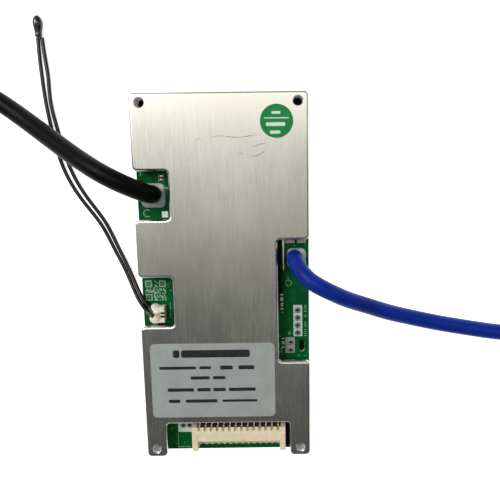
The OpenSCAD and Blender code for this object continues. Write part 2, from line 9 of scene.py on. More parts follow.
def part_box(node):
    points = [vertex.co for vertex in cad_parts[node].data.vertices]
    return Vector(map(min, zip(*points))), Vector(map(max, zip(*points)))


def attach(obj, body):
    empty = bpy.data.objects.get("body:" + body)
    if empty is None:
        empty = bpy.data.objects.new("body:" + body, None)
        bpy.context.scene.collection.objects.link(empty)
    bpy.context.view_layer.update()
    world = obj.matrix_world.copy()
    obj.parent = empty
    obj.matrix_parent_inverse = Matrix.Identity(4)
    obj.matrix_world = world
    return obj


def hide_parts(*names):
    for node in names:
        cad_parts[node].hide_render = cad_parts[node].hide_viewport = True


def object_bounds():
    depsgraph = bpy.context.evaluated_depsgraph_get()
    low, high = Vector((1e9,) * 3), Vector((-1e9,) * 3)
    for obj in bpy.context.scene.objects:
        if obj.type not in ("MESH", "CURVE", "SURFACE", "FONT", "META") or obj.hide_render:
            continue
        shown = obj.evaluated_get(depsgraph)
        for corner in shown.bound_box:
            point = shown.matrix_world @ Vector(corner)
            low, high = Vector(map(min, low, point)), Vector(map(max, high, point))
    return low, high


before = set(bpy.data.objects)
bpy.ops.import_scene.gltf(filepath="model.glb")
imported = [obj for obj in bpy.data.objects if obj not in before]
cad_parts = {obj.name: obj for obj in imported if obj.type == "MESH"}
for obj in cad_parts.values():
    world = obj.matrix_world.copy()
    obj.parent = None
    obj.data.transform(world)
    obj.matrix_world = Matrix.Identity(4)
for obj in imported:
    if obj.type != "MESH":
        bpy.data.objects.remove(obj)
boundsAtStart = [list(corner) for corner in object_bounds()]
scene = bpy.context.scene
mm = 0.001
print("battery management board: frame loaded")


def boxOf(nodeName):
    # lowest and highest corner of a CAD node, in millimetres
    low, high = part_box(nodeName)
    return np.array(low) / mm, np.array(high) / mm


boardLow, boardHigh = boxOf("board")
plateLow, plateHigh = boxOf("plate")
boardTop = boardHigh[2]
plateTop = plateHigh[2]


# camera: a hand's breadth and a half above the plate, looking down and a little forwards

cameraSettings = {
    # millimetres, and degrees
    "place": (17.95, 35.09, 167.98), "turn": (-8.766, -0.071, -0.774),
    "lens": 37.44, "sensorWidth": 36, "shiftX": -0.06, "clip": (0.01, 20),
}


def addCamera():
    # what it sees spans sensorWidth / lens of the distance
    v = cameraSettings
    data = bpy.data.cameras.new("camera")
    data.lens = v["lens"]
    data.sensor_width = v["sensorWidth"]
    data.shift_x = v["shiftX"]
    data.clip_start, data.clip_end = v["clip"]
    camera = bpy.data.objects.new("camera", data)
    camera.location = [step * mm for step in v["place"]]
    camera.rotation_euler = [math.radians(angle) for angle in v["turn"]]
    scene.collection.objects.link(camera)
    scene.camera = camera


# light: a room whose ceiling glows over the back and the left, dark towards the front and right

lightSettings = {
    # degrees from straight up towards the back, and the ceiling's brightness there
    "backRamp": [(-90, 0.65), (-66, 0.40), (-46, 0.09), (-31, 0.085), (-24, 0.082), (-18, 0.092),
                 (-14, 0.155), (-11, 0.33), (-8, 0.49), (-5.5, 0.53), (-3, 0.74), (0, 0.63), (2.5, 0.62),
                 (4, 0.63), (5.2, 0.80), (6.6, 1.5), (9, 2.75), (18, 2.5), (25, 1.2), (33, 0.6), (42, 0.25),
                 (56, 0.2), (70, 0.45), (90, 0.7)],
    # degrees from straight up towards the right, and the share of the glow that reaches there
    "sideRamp": [(-90, 0.6), (-72, 0.55), (-50, 1.0), (-3, 1.0), (3, 1.02), (8, 1.08), (14, 1.0), (26, 0.7),
                 (40, 0.42), (58, 0.28), (72, 0.5), (90, 0.6)],
    "warm": (1.0, 0.985, 0.93), "cool": (0.96, 0.99, 1.0),
    # the glow at which the light is cool, and the glow at which it is warm
    "tintFrom": (0.1, 0.6),
    "leastGlow": 0.012,
    "key": {"place": (-430, 380, 600), "aim": (0, 0, 0), "size": (330, 330), "power": 4.0},
}


def rampNode(tree, angle, stops):
    # brightness against an angle in degrees, straight between the given stops
    low, high = stops[0][0], stops[-1][0]
    top = max(v for _, v in stops)
    share = addNode(tree, "ShaderNodeMapRange", {"Value": angle, "From Min": math.radians(low),
                                                 "From Max": math.radians(high)}).outputs["Result"]
    ramp = addNode(tree, "ShaderNodeValToRGB", {"Fac": share})
    stopList = ramp.color_ramp.elements
    while len(stopList) < len(stops):
        stopList.new(0.5)
    # places first, because the stops sort themselves as they move
    for element, (degrees, _) in zip(stopList, stops):
        element.position = (degrees - low) / (high - low)
    for element, (_, value) in zip(stopList, stops):
        element.color = (value / top, value / top, value / top, 1)
    return mathOf(tree, "MULTIPLY", ramp.outputs["Color"], top)


def addLights():
    # a lamp aimed at the part, and a room that glows by backRamp * sideRamp of the two angles
    v = lightSettings
    key = v["key"]
    data = bpy.data.lights.new("key", "AREA")
    data.shape = "RECTANGLE"
    data.size, data.size_y = [length * mm for length in key["size"]]
    data.energy = key["power"]
    light = bpy.data.objects.new("key", data)
    place = np.array(key["place"]) * mm
    light.location = place
    light.rotation_euler = Vector(np.array(key["aim"]) * mm - place).to_track_quat("-Z", "Y").to_euler()
    scene.collection.objects.link(light)
    world = bpy.data.worlds.new("room")
    world.use_nodes = True
    tree = world.node_tree
    coords = addNode(tree, "ShaderNodeTexCoord")
    x, y, z = addNode(tree, "ShaderNodeSeparateXYZ", {0: coords.outputs["Generated"]}).outputs
    back = rampNode(tree, mathOf(tree, "ARCTAN2", y, z), v["backRamp"])
    side = rampNode(tree, mathOf(tree, "ARCTAN2", x, z), v["sideRamp"])
    glow = mathOf(tree, "MULTIPLY", back, side)
    colour = mixOf(tree, rangeOf(tree, glow, 0, 1, *v["tintFrom"]), v["cool"], v["warm"])
    strength = mathOf(tree, "ADD", glow, v["leastGlow"])
    fill(tree, tree.nodes["Background"], {"Color": colour, "Strength": strength})
    scene.world = world
    scene.view_settings.view_transform = "Standard"


# material helpers: node trees on Object coordinates, which are metres in the part's own frame


def fill(tree, made, inputs):
    # links each input whose value is a socket, and sets the others
    for key, value in inputs.items():
        if isinstance(value, bpy.types.NodeSocket):
            tree.links.new(value, made.inputs[key])
        else:
            made.inputs[key].default_value = value


def addNode(tree, kind, inputs=None, **settings):
    # a node with its settings and its filled inputs
    made = tree.nodes.new(kind)
    for key, value in settings.items():
        setattr(made, key, value)
    fill(tree, made, inputs or {})
    return made


def startMaterial(name):
    # a material, its tree and shader, and the place on the part in millimetres
    material = bpy.data.materials.new(name)
    material.use_nodes = True
    tree = material.node_tree
    shader = tree.nodes["Principled BSDF"]
    coords = addNode(tree, "ShaderNodeTexCoord")
    inMillimetres = addNode(tree, "ShaderNodeMapping", {"Vector": coords.outputs["Object"],
                                                        "Scale": (1000, 1000, 1000)})
    return material, tree, shader, inMillimetres.outputs["Vector"]


def stretched(tree, place, scale):
    # place * scale on each axis
    return addNode(tree, "ShaderNodeMapping", {"Vector": place, "Scale": scale}).outputs["Vector"]


def noiseOf(tree, place, scale, detail=3.0, roughness=0.55, distortion=0.0):
    # soft noise with about scale features to each unit of place
    made = addNode(tree, "ShaderNodeTexNoise", {"Vector": place, "Scale": scale, "Detail": detail,
                                                "Roughness": roughness, "Distortion": distortion})
    return made.outputs["Fac"]


def rangeOf(tree, value, low, high, fromLow=0.3, fromHigh=0.7):
    # low + (high - low) * (value - fromLow) / (fromHigh - fromLow), held between low and high
    return addNode(tree, "ShaderNodeMapRange", {"Value": value, "From Min": fromLow, "From Max": fromHigh,
                                                "To Min": low, "To Max": high}).outputs["Result"]


def mathOf(tree, operation, first, second=0.0):
    # one arithmetic step on one or two values
    made = addNode(tree, "ShaderNodeMath", {0: first, 1: second}, operation=operation)
    return made.outputs[0]


def mixOf(tree, amount, first, second):
    # first * (1 - amount) + second * amount, for colours
    made = addNode(tree, "ShaderNodeMix", data_type="RGBA")
    ends = [v if isinstance(v, bpy.types.NodeSocket) else (*v, 1) for v in (first, second)]
    fill(tree, made, {0: amount, 6: ends[0], 7: ends[1]})
    return made.outputs[2]


def weighed(tree, first, share, second, otherShare):
    # first * share + second * otherShare
    return mathOf(tree, "ADD", mathOf(tree, "MULTIPLY", first, share),
                  mathOf(tree, "MULTIPLY", second, otherShare))


def bumpOf(tree, height, strength, distance):
    # distance is in millimetres
    return addNode(tree, "ShaderNodeBump", {"Height": height, "Strength": strength,
                                            "Distance": distance * mm}).outputs["Normal"]


def finishOf(name, dark, light, roughness, metallic=0.0, grain=1.0, stretch=(1, 1, 1), spread=0.06,
             bump=0.3, depth=0.02, specular=0.5, coat=0.0, sheen=0.0):
    # a finish whose colour, roughness and relief wander between two close values
    material, tree, shader, place = startMaterial(name)
    place = stretched(tree, place, stretch)
    broad = noiseOf(tree, place, grain * 0.35, 4.0)
    fine = noiseOf(tree, place, grain * 3.0, 3.0)
    tone = rangeOf(tree, weighed(tree, broad, 0.65, fine, 0.35), 0.0, 1.0, 0.36, 0.64)
    fill(tree, shader, {
        "Base Color": mixOf(tree, tone, dark, light),
        "Roughness": rangeOf(tree, broad, roughness - spread, roughness + spread),
        "Normal": bumpOf(tree, fine, bump, depth), "Metallic": metallic, "Specular IOR Level": specular,
        "Coat Weight": coat, "Sheen Weight": sheen,
    })
    return material


def brushedMetal(name, dark, light, roughness, streak):
    # streaks run along Y, and broad clouds dull them
    material, tree, shader, place = startMaterial(name)
    streaks = noiseOf(tree, stretched(tree, place, (streak, streak * 0.018, streak)), 1.0, 5.0, 0.65)
    broad = noiseOf(tree, stretched(tree, place, (0.06, 0.035, 0.06)), 1.0, 3.0)
    grit = noiseOf(tree, place, 2.6, 2.0)
    tone = weighed(tree, streaks, 0.55, broad, 0.45)
    rough = mathOf(tree, "ADD", rangeOf(tree, streaks, -0.05, 0.05), rangeOf(tree, broad, -0.04, 0.04))
    rough = mathOf(tree, "ADD", mathOf(tree, "ADD", rough, roughness), mathOf(tree, "MULTIPLY", grit, 0.02))
    fill(tree, shader, {
        "Base Color": mixOf(tree, rangeOf(tree, tone, 0.0, 1.0, 0.38, 0.62), dark, light),
        "Roughness": rough, "Normal": bumpOf(tree, streaks, 0.06, 0.012), "Metallic": 1.0,
    })
    return material


def maskedBoard(name, bare, overCopper):
    # solder mask: right-angled copper runs and pours show through as paler green, slightly raised
    material, tree, shader, place = startMaterial(name)
    runs = addNode(tree, "ShaderNodeTexVoronoi", {"Vector": place, "Scale": 0.42, "Randomness": 0.75},
                   distance="CHEBYCHEV", feature="F1")
    copper = rangeOf(tree, runs.outputs["Distance"], 1.0, 0.0, 0.40, 0.43)
    lanes = addNode(tree, "ShaderNodeTexBrick", {"Vector": place, "Scale": 0.9, "Mortar Size": 0.05,
                                                 "Mortar Smooth": 0.1, "Row Height": 0.5, "Brick Width": 2.3},
                    offset=0.5)
    height = mathOf(tree, "MULTIPLY", copper, mathOf(tree, "SUBTRACT", 1.0, lanes.outputs["Fac"]))
    cloud = noiseOf(tree, place, 0.3, 3.0)
    amount = mathOf(tree, "MULTIPLY", height, rangeOf(tree, cloud, 0.35, 1.0))
    fill(tree, shader, {
        "Base Color": mixOf(tree, amount, bare, overCopper), "Roughness": rangeOf(tree, cloud, 0.34, 0.46),
        "Normal": bumpOf(tree, height, 0.5, 0.035), "Specular IOR Level": 0.06,
    })
    return material


def fadedShade(name, dark, light, near, far):
    # painted shade: near-black under the plate's edge, easing to green as x + fall(y) + cloud goes from near
    # to far
    material, tree, shader, place = startMaterial(name)
    spot = addNode(tree, "ShaderNodeSeparateXYZ", {0: place})
    cloud = noiseOf(tree, place, 0.6, 3.0)
    fall = rangeOf(tree, spot.outputs[1], 0.0, 2.6, -3.5, -10.5)
    across = mathOf(tree, "ADD", mathOf(tree, "ADD", spot.outputs[0], fall), rangeOf(tree, cloud, -0.5, 0.5))
    fill(tree, shader, {
        "Base Color": mixOf(tree, rangeOf(tree, across, 0.0, 1.0, near, far), dark, light),
        "Roughness": rangeOf(tree, cloud, 0.5, 0.6), "Specular IOR Level": 0.06,
    })
    return material


def layeredEdge(name):
    # sawn glass-fibre edge: thin resin layers across Z
    material, tree, shader, place = startMaterial(name)
    layers = noiseOf(tree, stretched(tree, place, (0.4, 0.4, 9)), 1.0, 2.0)
    fuzz = noiseOf(tree, place, 5.0, 2.0)
    fill(tree, shader, {
        "Base Color": mixOf(tree, rangeOf(tree, layers, 0, 1), (0.30, 0.33, 0.16), (0.48, 0.50, 0.28)),
        "Roughness": rangeOf(tree, fuzz, 0.55, 0.75), "Normal": bumpOf(tree, fuzz, 0.5, 0.04),
    })
    return material


def rubberSleeve(name, dark, light, roughness, specular):
    # soft silicone: faint dust, fine pimples and shallow handling marks
    material, tree, shader, place = startMaterial(name)
    broad = noiseOf(tree, place, 0.12, 4.0)
    dust = noiseOf(tree, place, 1.7, 4.0, 0.7)
    tone = rangeOf(tree, weighed(tree, broad, 0.7, dust, 0.3), 0.0, 1.0, 0.35, 0.65)
    height = mathOf(tree, "ADD", noiseOf(tree, place, 0.5, 3.0), mathOf(tree, "MULTIPLY", dust, 0.12))
    fill(tree, shader, {
        "Base Color": mixOf(tree, tone, dark, light),
        "Roughness": rangeOf(tree, dust, roughness - 0.06, roughness + 0.08),
        "Normal": bumpOf(tree, height, 0.35, 0.12), "Specular IOR Level": specular,
    })
    return material


glueCore = {"middle": (-21.9, -10.6, 6.3), "near": 0.3, "far": 1.25, "most": 0.85, "wander": 0.35}


def glueFinish(name, dark, light, core):
    # cream glue, mixed towards tan near a point over the socket's middle
    material, tree, shader, place = startMaterial(name)
    cloud = noiseOf(tree, place, 0.7, 4.0)
    away = addNode(tree, "ShaderNodeVectorMath", {0: place, 1: glueCore["middle"]},
                   operation="DISTANCE").outputs["Value"]
    away = mathOf(tree, "ADD", away, rangeOf(tree, cloud, -glueCore["wander"], glueCore["wander"]))
    thin = rangeOf(tree, away, glueCore["most"], 0.0, glueCore["near"], glueCore["far"])
    colour = mixOf(tree, rangeOf(tree, cloud, 0, 1), dark, light)
    fill(tree, shader, {
        "Base Color": mixOf(tree, thin, colour, core), "Roughness": rangeOf(tree, cloud, 0.26, 0.42),
        "Normal": bumpOf(tree, noiseOf(tree, place, 1.3, 3.0), 0.5, 0.12), "Coat Weight": 0.2,
    })
    return material


materials = {
    "plate": brushedMetal("brushedPlate", (0.543, 0.535, 0.495), (0.58, 0.571, 0.529), 0.245, 6.5),
    "spacer_metal": finishOf("turnedSpacer", (0.92, 0.92, 0.91), (0.98, 0.98, 0.97), 0.5, 0.0, 1.5,
                             (1, 1, 6), bump=0.4),
    "circuit_board": maskedBoard("solderMask", (0.0008, 0.068, 0.015), (0.0016, 0.108, 0.024)),
    "glassEdge": layeredEdge("glassEdge"),
    "thermal_pad": finishOf("thermalPad", (0.38, 0.42, 0.47), (0.47, 0.51, 0.56), 0.72, bump=0.5),
    "chip_body": finishOf("mouldedEpoxy", (0.018, 0.018, 0.020), (0.034, 0.034, 0.036), 0.55, grain=2.5,
                          bump=0.5, depth=0.015),
    "tinned_copper": finishOf("tinnedCopper", (0.62, 0.62, 0.60), (0.80, 0.80, 0.77), 0.30, 1.0, 2.0),
    "shunt_alloy": finishOf("rolledAlloy", (0.30, 0.28, 0.25), (0.42, 0.39, 0.35), 0.42, 0.8, 1.2,
                            (1, 0.2, 1)),
    "resistor_body": finishOf("glazedBody", (0.012, 0.012, 0.014), (0.03, 0.03, 0.033), 0.35, grain=2.0),
    "capacitor_body": finishOf("firedCeramic", (0.30, 0.20, 0.11), (0.42, 0.30, 0.18), 0.5, grain=2.0),
    "socket_plastic": finishOf("mouldedNylon", (0.68, 0.585, 0.40), (0.78, 0.69, 0.49), 0.42, grain=1.2,
                               bump=0.35, depth=0.02),
    "contact_metal": finishOf("tinPlatedPin", (0.56, 0.52, 0.41), (0.68, 0.64, 0.52), 0.42, 0.2, 3.0),
    "solder": finishOf("reflowedSolder", (0.34, 0.36, 0.34), (0.48, 0.50, 0.47), 0.46, 0.35, 1.1, bump=0.6,
                       depth=0.04),
    "tinned_strands": finishOf("tinnedStrand", (0.58, 0.57, 0.53), (0.80, 0.79, 0.76), 0.30, 1.0, 2.2),
    "black_silicone": rubberSleeve("blackSilicone", (0.0015, 0.0015, 0.0017), (0.0035, 0.0035, 0.004),
                                   0.38, 0.07),
    "blue_silicone": rubberSleeve("blueSilicone", (0.0022, 0.014, 0.18), (0.004, 0.024, 0.27), 0.36, 0.11),
    "sensor_plastic": finishOf("sensorNylon", (0.62, 0.58, 0.46), (0.74, 0.70, 0.58), 0.45, grain=1.6),
    "glue": glueFinish("setGlue", (0.60, 0.54, 0.40), (0.74, 0.69, 0.55), (0.40, 0.28, 0.17)),
    "sensor_wire": finishOf("wireSleeve", (0.0012, 0.0012, 0.0014), (0.003, 0.003, 0.0034), 0.22, grain=0.4,
                            spread=0.01, bump=0.05, depth=0.004, specular=0.4),
    "resin": finishOf("castResin", (0.004, 0.004, 0.0045), (0.009, 0.009, 0.010), 0.16, grain=1.0, bump=0.3,
                      depth=0.05, coat=0.5),
    "white_plastic": finishOf("whitePlastic", (0.66, 0.69, 0.64), (0.80, 0.83, 0.78), 0.4, grain=2.0),
    "label_film": finishOf("labelFilm", (0.285, 0.311, 0.304), (0.335, 0.361, 0.352), 0.40, grain=0.5,
                           bump=0.3, depth=0.03, specular=0.4),
    "sticker_film": finishOf("stickerFilm", (0.002, 0.185, 0.042), (0.004, 0.225, 0.055), 0.5, grain=0.7,
                             bump=0.25, depth=0.02, specular=0.2),
    "silkscreen": finishOf("silkInk", (0.40, 0.46, 0.40), (0.52, 0.58, 0.51), 0.6, grain=2.5, specular=0.15),
    "faintInk": finishOf("faintInk", (0.17, 0.29, 0.19), (0.27, 0.40, 0.29), 0.6, grain=2.5, specular=0.15),
    "labelInk": finishOf("labelInk", (0.010, 0.010, 0.011), (0.026, 0.026, 0.028), 0.5, grain=2.5,
                         specular=0.2),
    "stickerInk": finishOf("stickerInk", (0.52, 0.66, 0.54), (0.68, 0.80, 0.70), 0.5, grain=2.0),
    # painted shade for the floors of the socket's pockets
    "pocketShade": finishOf("pocketShade", (0.36, 0.29, 0.18), (0.44, 0.36, 0.24), 0.6, grain=1.2),
    "scratch": finishOf("scratch", (0.10, 0.095, 0.085), (0.22, 0.21, 0.19), 0.5, grain=3.0),
    # deepShade and besideShade are painted shade: dark films where shade falls, and the sensor pins' mouths
    "deepShade": finishOf("deepShade", (0.0015, 0.005, 0.0026), (0.003, 0.010, 0.005), 0.7, grain=1.0,
                          specular=0.08),
    "besideShade": fadedShade("besideShade", (0.0012, 0.004, 0.002), (0.0009, 0.072, 0.016), 17.6, 19.3),
    # painted shade for the slots behind the socket
    "slotShade": finishOf("slotShade", (0.030, 0.024, 0.015), (0.055, 0.045, 0.030), 0.7, grain=1.2,
                          specular=0.1),
    "greyInk": finishOf("greyInk", (0.20, 0.22, 0.20), (0.28, 0.30, 0.28), 0.6, grain=2.5),
    "platedHole": finishOf("platedHole", (0.17, 0.175, 0.16), (0.27, 0.275, 0.25), 0.45, 0.4, 2.0),
    # painted shade for the deep parts of the spacers' bores and the pads' drilled holes
    "darkBarrel": finishOf("darkBarrel", (0.004, 0.004, 0.004), (0.010, 0.010, 0.009), 0.6, grain=2.0),
    "floor": finishOf("studioFloor", (0.90, 0.90, 0.90), (0.93, 0.93, 0.93), 0.7, grain=0.02, bump=0.0),
}
print("materials ready:", len(materials))


# mesh helpers: points come as (n, 3) arrays in millimetres


def addPiece(name, points, faces, slotName, faceMaterials=None, materialNames=None, sharpAngle=38,
             replaced=()):
    # a smooth mesh that keeps edges sharper than sharpAngle degrees, rides the root and fills its slot
    mesh = bpy.data.meshes.new(name)
    mesh.from_pydata((np.asarray(points, float) * mm).tolist(), [], [list(f) for f in faces])
    for key in materialNames or [slotName]:
        mesh.materials.append(materials[key])
    if faceMaterials is not None:
        mesh.polygons.foreach_set("material_index", np.asarray(faceMaterials, np.int32))
    mesh.polygons.foreach_set("use_smooth", np.ones(len(mesh.polygons), bool))
    mesh.set_sharp_from_angle(angle=math.radians(sharpAngle))
    mesh.update()
    piece = bpy.data.objects.new(name, mesh)
    scene.collection.objects.link(piece)
    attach(piece, "root")
    if replaced:
        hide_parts(*replaced)
    return piece


def gridFaces(rows, columns, closed=False):
    # quads over a grid of rows by columns; closed joins the last column to the first
    across = columns if closed else columns - 1
    r, c = np.meshgrid(np.arange(rows - 1), np.arange(across), indexing="ij")
    after = (c + 1) % columns
    return np.stack([r * columns + c, r * columns + after, (r + 1) * columns + after,
                     (r + 1) * columns + c], -1).reshape(-1, 4)


def joined(parts):
    # several (points, faces) pairs as one
    points, faces, start = [], [], 0
    for p, f in parts:
        points.append(np.asarray(p, float))
        faces += [[i + start for i in face] for face in f]
        start += len(p)
    return np.concatenate(points), faces


def addParts(name, parts, slotName, *more, **settings):
    # several (points, faces) pairs as one piece
    return addPiece(name, *joined(parts), slotName, *more, **settings)


def unitRows(v):
    # each row over its own length
    return v / np.maximum(np.linalg.norm(v, axis=-1, keepdims=True), 1e-12)


def smoothPath(points, step, firstWay=None):
    # a cubic spline through the points, natural at its ends or leaving the first along firstWay
    p = np.asarray(points, float)
    t = np.concatenate([[0], np.cumsum(np.linalg.norm(np.diff(p, axis=0), axis=1))])
    h, n = np.diff(t), len(p)
    a, b = np.zeros((n, n)), np.zeros((n, 3))
    i = np.arange(1, n - 1)
    a[i, i - 1], a[i, i], a[i, i + 1] = h[i - 1], 2 * (h[i - 1] + h[i]), h[i]
    slope = np.diff(p, axis=0) / h[:, None]
    b[i] = 6 * (slope[i] - slope[i - 1])
    a[0, 0] = a[-1, -1] = 1
    if firstWay is not None:
        a[0, 0], a[0, 1] = 2 * h[0], h[0]
        b[0] = 6 * (slope[0] - np.asarray(firstWay, float))
    m = np.linalg.solve(a, b)
    s = np.linspace(0, t[-1], int(t[-1] / step) + 2)
    k = np.clip(np.searchsorted(t, s, "right") - 1, 0, n - 2)
    u, hk = (s - t[k])[:, None], h[k][:, None]
    return (p[k] + u * (slope[k] - hk * (2 * m[k] + m[k + 1]) / 6) + u ** 2 * m[k] / 2
            + u ** 3 * (m[k + 1] - m[k]) / (6 * hk))


def framesAlong(path):
    # directions along a path, and two sideways vectors that turn with it as little as possible
    ways = unitRows(np.gradient(path, axis=0))
    side = np.empty_like(path)
    level = np.array([0.3, 0.9, 0.2])
    for i, way in enumerate(ways):
        level = level - level @ way * way
        level /= np.linalg.norm(level)
        side[i] = level
    return ways, side, np.cross(ways, side)


def tubeAlong(path, radii, sides):
    # a circle of the given radius carried along the path: path + radius * (cos * side + sin * up)
    _, side, up = framesAlong(path)
    radii = np.broadcast_to(radii, len(path))[:, None, None]
    angle = np.linspace(0, 2 * np.pi, sides, endpoint=False)[None, :, None]
    ring = path[:, None] + radii * (np.cos(angle) * side[:, None] + np.sin(angle) * up[:, None])
    faces = gridFaces(len(path), sides, True).tolist()
    faces.append(list(range(sides - 1, -1, -1)))
    faces.append(list(range((len(path) - 1) * sides, len(path) * sides)))
    return ring.reshape(-1, 3), faces


def lathe(profile, middle, sides):
    # a (radius, height) profile turned about a vertical axis through middle
    profile = np.asarray(profile, float)
    angle = np.linspace(0, 2 * np.pi, sides, endpoint=False)
    x = middle[0] + profile[:, :1] * np.cos(angle)
    y = middle[1] + profile[:, :1] * np.sin(angle)
    z = np.broadcast_to(profile[:, 1:2], x.shape)
    return np.stack([x, y, z], -1).reshape(-1, 3), gridFaces(len(profile), sides, True).tolist()


# routes of the cords, the same points as the CAD part's


def curlOf(middle, radius, startAngle, endAngle, steps, height):
    # an arc at one height: middle + radius * (cos, sin), angles in degrees
    a = np.radians(startAngle + (endAngle - startAngle) * np.arange(steps + 1) / steps)
    return np.stack([middle[0] + radius * np.cos(a), middle[1] + radius * np.sin(a),
                     np.full(len(a), height)], 1)


leadShape = {"step": 1.2, "sides": 36, "drawnIn": 0.22, "twist": 0.11, "tuck": 0.6, "rootOver": 0.5}
blackLead = {
    "diameter": 5.7, "coreDiameter": 3.8, "bareEnd": 8.0, "strands": 19,
    "rise": [(-21.7, 28.1, 4.2), (-22.5, 28.5, 8.6), (-24.7, 29.8, 12.4), (-27.9, 31.6, 14.9),
             (-31.8, 33.7, 15.8), (-35.8, 35.9, 15), (-42.2, 39.7, 12.2), (-49.6, 44.5, 8.7),
             (-58.4, 50.5, 5.2), (-67.6, 56.8, 3.2), (-77, 63, 2.9)],
    "curl": ((-99, 41), 31, 64, 252, 8, 2.9),
}
blueLead = {
    "diameter": 5.1, "coreDiameter": 3.2, "bareEnd": 8.0, "strands": 19,
    "rise": [(22.4, 7.6, 4), (22.7, 6.8, 8.1), (23.9, 4.8, 11.6), (26.3, 2.3, 14), (29.7, 0.1, 14.9),
             (33.6, -2.1, 14.1), (38.7, -4.8, 11.9), (44.7, -7.4, 9), (51.8, -10.3, 6.3),
             (59.4, -12.7, 4.2), (67, -14.7, 3.1), (78.5, -17, 2.6), (90, -18.8, 2.6)],
    "curl": ((107, -49), 28, 82, -90, 7, 2.6),
}
sensorLead = {
    "diameter": 1.2, "slim": 0.99, "step": 0.8, "sides": 20,
    "route": [(-23.8, -10.6, 4.7), (-25.8, -8, 4.7), (-28.1, -4.5, 3.8), (-30.2, -0.2, 2.4),
              (-32.5, 4.8, 1.3), (-35, 10, 0.8), (-39, 18.6, 0.62), (-44.6, 26.8, 0.62), (-49.7, 37, 0.62),
              (-52.4, 48.3, 0.62), (-53.8, 57, 0.62), (-54.2, 65, 0.62), (-54.6, 71, 0.62),
              (-54.8, 76, 0.62)],
    "halfGap": (0.64, 0.64, 0.64, 0.64, 0.64, 0.7, 0.8, 0.9, 1, 0.9, 0.75, 0.95, 0.8, 0.64),
}


def pathLength(path):
    # the sum of the steps along the path
    return float(np.linalg.norm(np.diff(path, axis=0), axis=1).sum())


def strandBundle(path, radius, count, twist, sides=8):
    # strands on rings round one in the middle, each a thin tube that winds as it goes
    _, side, up = framesAlong(path)
    gauge = radius / 5.0
    ring = np.concatenate([[0], np.full(6, 2 * gauge), np.full(12, 4 * gauge)])[:count]
    start = np.concatenate([[0], np.arange(6) * np.pi / 3, np.arange(12) * np.pi / 6])[:count]
    along = np.concatenate([[0], np.cumsum(np.linalg.norm(np.diff(path, axis=0), axis=1))])
    parts = []
    for r, a in zip(ring, start):
        angle = (a + twist * along)[:, None]
        line = path + r * (np.cos(angle) * side + np.sin(angle) * up)
        parts.append(tubeAlong(line, gauge * 0.99, sides))
    return joined(parts)


def keptInside(path, radius, soft=0.15):
    # eases the path back where it would carry the tube beyond the whole part's box
    low, high = np.array(boundsAtStart) / mm
    for k in range(3):
        top, bottom = high[k] - radius - 0.01, low[k] + radius + 0.01
        path[:, k] = top - soft * np.logaddexp(0, (top - path[:, k]) / soft)
        if k < 2:
            path[:, k] = bottom + soft * np.logaddexp(0, (path[:, k] - bottom) / soft)
    return path


def addLead(name, values, slotName, nodeName, endNode, coreNode):
    # a sleeve of the lead's diameter along its spline, and wound strands in its bare end and at its root
    v = leadShape
    radius, coreRadius = values["diameter"] / 2, values["coreDiameter"] / 2
    points = np.concatenate([np.array(values["rise"], float), curlOf(*values["curl"])])
    path = keptInside(smoothPath(points, v["step"], (0, 0, 1)), radius)
    ends = np.minimum(np.arange(len(path)), np.arange(len(path))[::-1])
    radii = radius - np.where(ends == 0, v["drawnIn"], 0.0)   # cut edges a little drawn in
    sleeve = addPiece(name, *tubeAlong(path, radii, v["sides"]), slotName, sharpAngle=50, replaced=[nodeName])
    way = unitRows(path[-1:] - path[-2:-1])[0]
    bare = path[-1] + way * np.linspace(-v["tuck"], values["bareEnd"], 24)[:, None]
    tip = strandBundle(bare, coreRadius, values["strands"], v["twist"])
    strands = addPiece(name + "Strands", *tip, "tinned_strands", replaced=[endNode])
    low, high = boxOf(coreNode)
    foot = np.array([(low[0] + high[0]) / 2, (low[1] + high[1]) / 2, 0])
    rootLine = foot + np.array([0, 0, 1]) * np.linspace(low[2], high[2] + v["rootOver"], 10)[:, None]
    core = strandBundle(rootLine, coreRadius, values["strands"], v["twist"])
    addPiece(name + "Root", *core, "tinned_strands", replaced=[coreNode])
    print(name, "length in mm:", round(pathLength(path), 1))


def addSensorWires():
    # each wire is the route +- half the gap, sideways to it
    route = np.array(sensorLead["route"], float)
    ways = unitRows(np.vstack([route[1:2] - route[:1], route[2:] - route[:-2], route[-1:] - route[-2:-1]]))
    across = unitRows(np.stack([-ways[:, 1], ways[:, 0], np.zeros(len(ways))], 1))
    gap = np.array(sensorLead["halfGap"])[:, None]
    made = []
    for name, sign, node in (("sensorWireLeft", 1, "sensor_wire_left"),
                             ("sensorWireRight", -1, "sensor_wire_right")):
        path = smoothPath(route + sign * gap * across, sensorLead["step"])
        tube = tubeAlong(path, sensorLead["diameter"] / 2 * sensorLead["slim"], sensorLead["sides"])
        made.append((addPiece(name, *tube, "sensor_wire", replaced=[node]), path))
    return made


# the resin bead over the thermistor: a drop, round at its far end, with a tail round the wires

beadShape = {
    "profile": [(0.0, 0.0), (0.75, 0.02), (1.02, 0.25), (1.08, 0.8), (1.12, 1.5), (1.24, 2.3), (1.40, 3.1),
                (1.49, 3.8), (1.47, 4.5), (1.33, 5.1), (1.08, 5.65), (0.76, 6.05), (0.4, 6.3), (0.0, 6.38)],
    "flatten": 0.97, "step": 0.16, "sides": 40, "lobe": 0.025, "slim": 0.985,
}


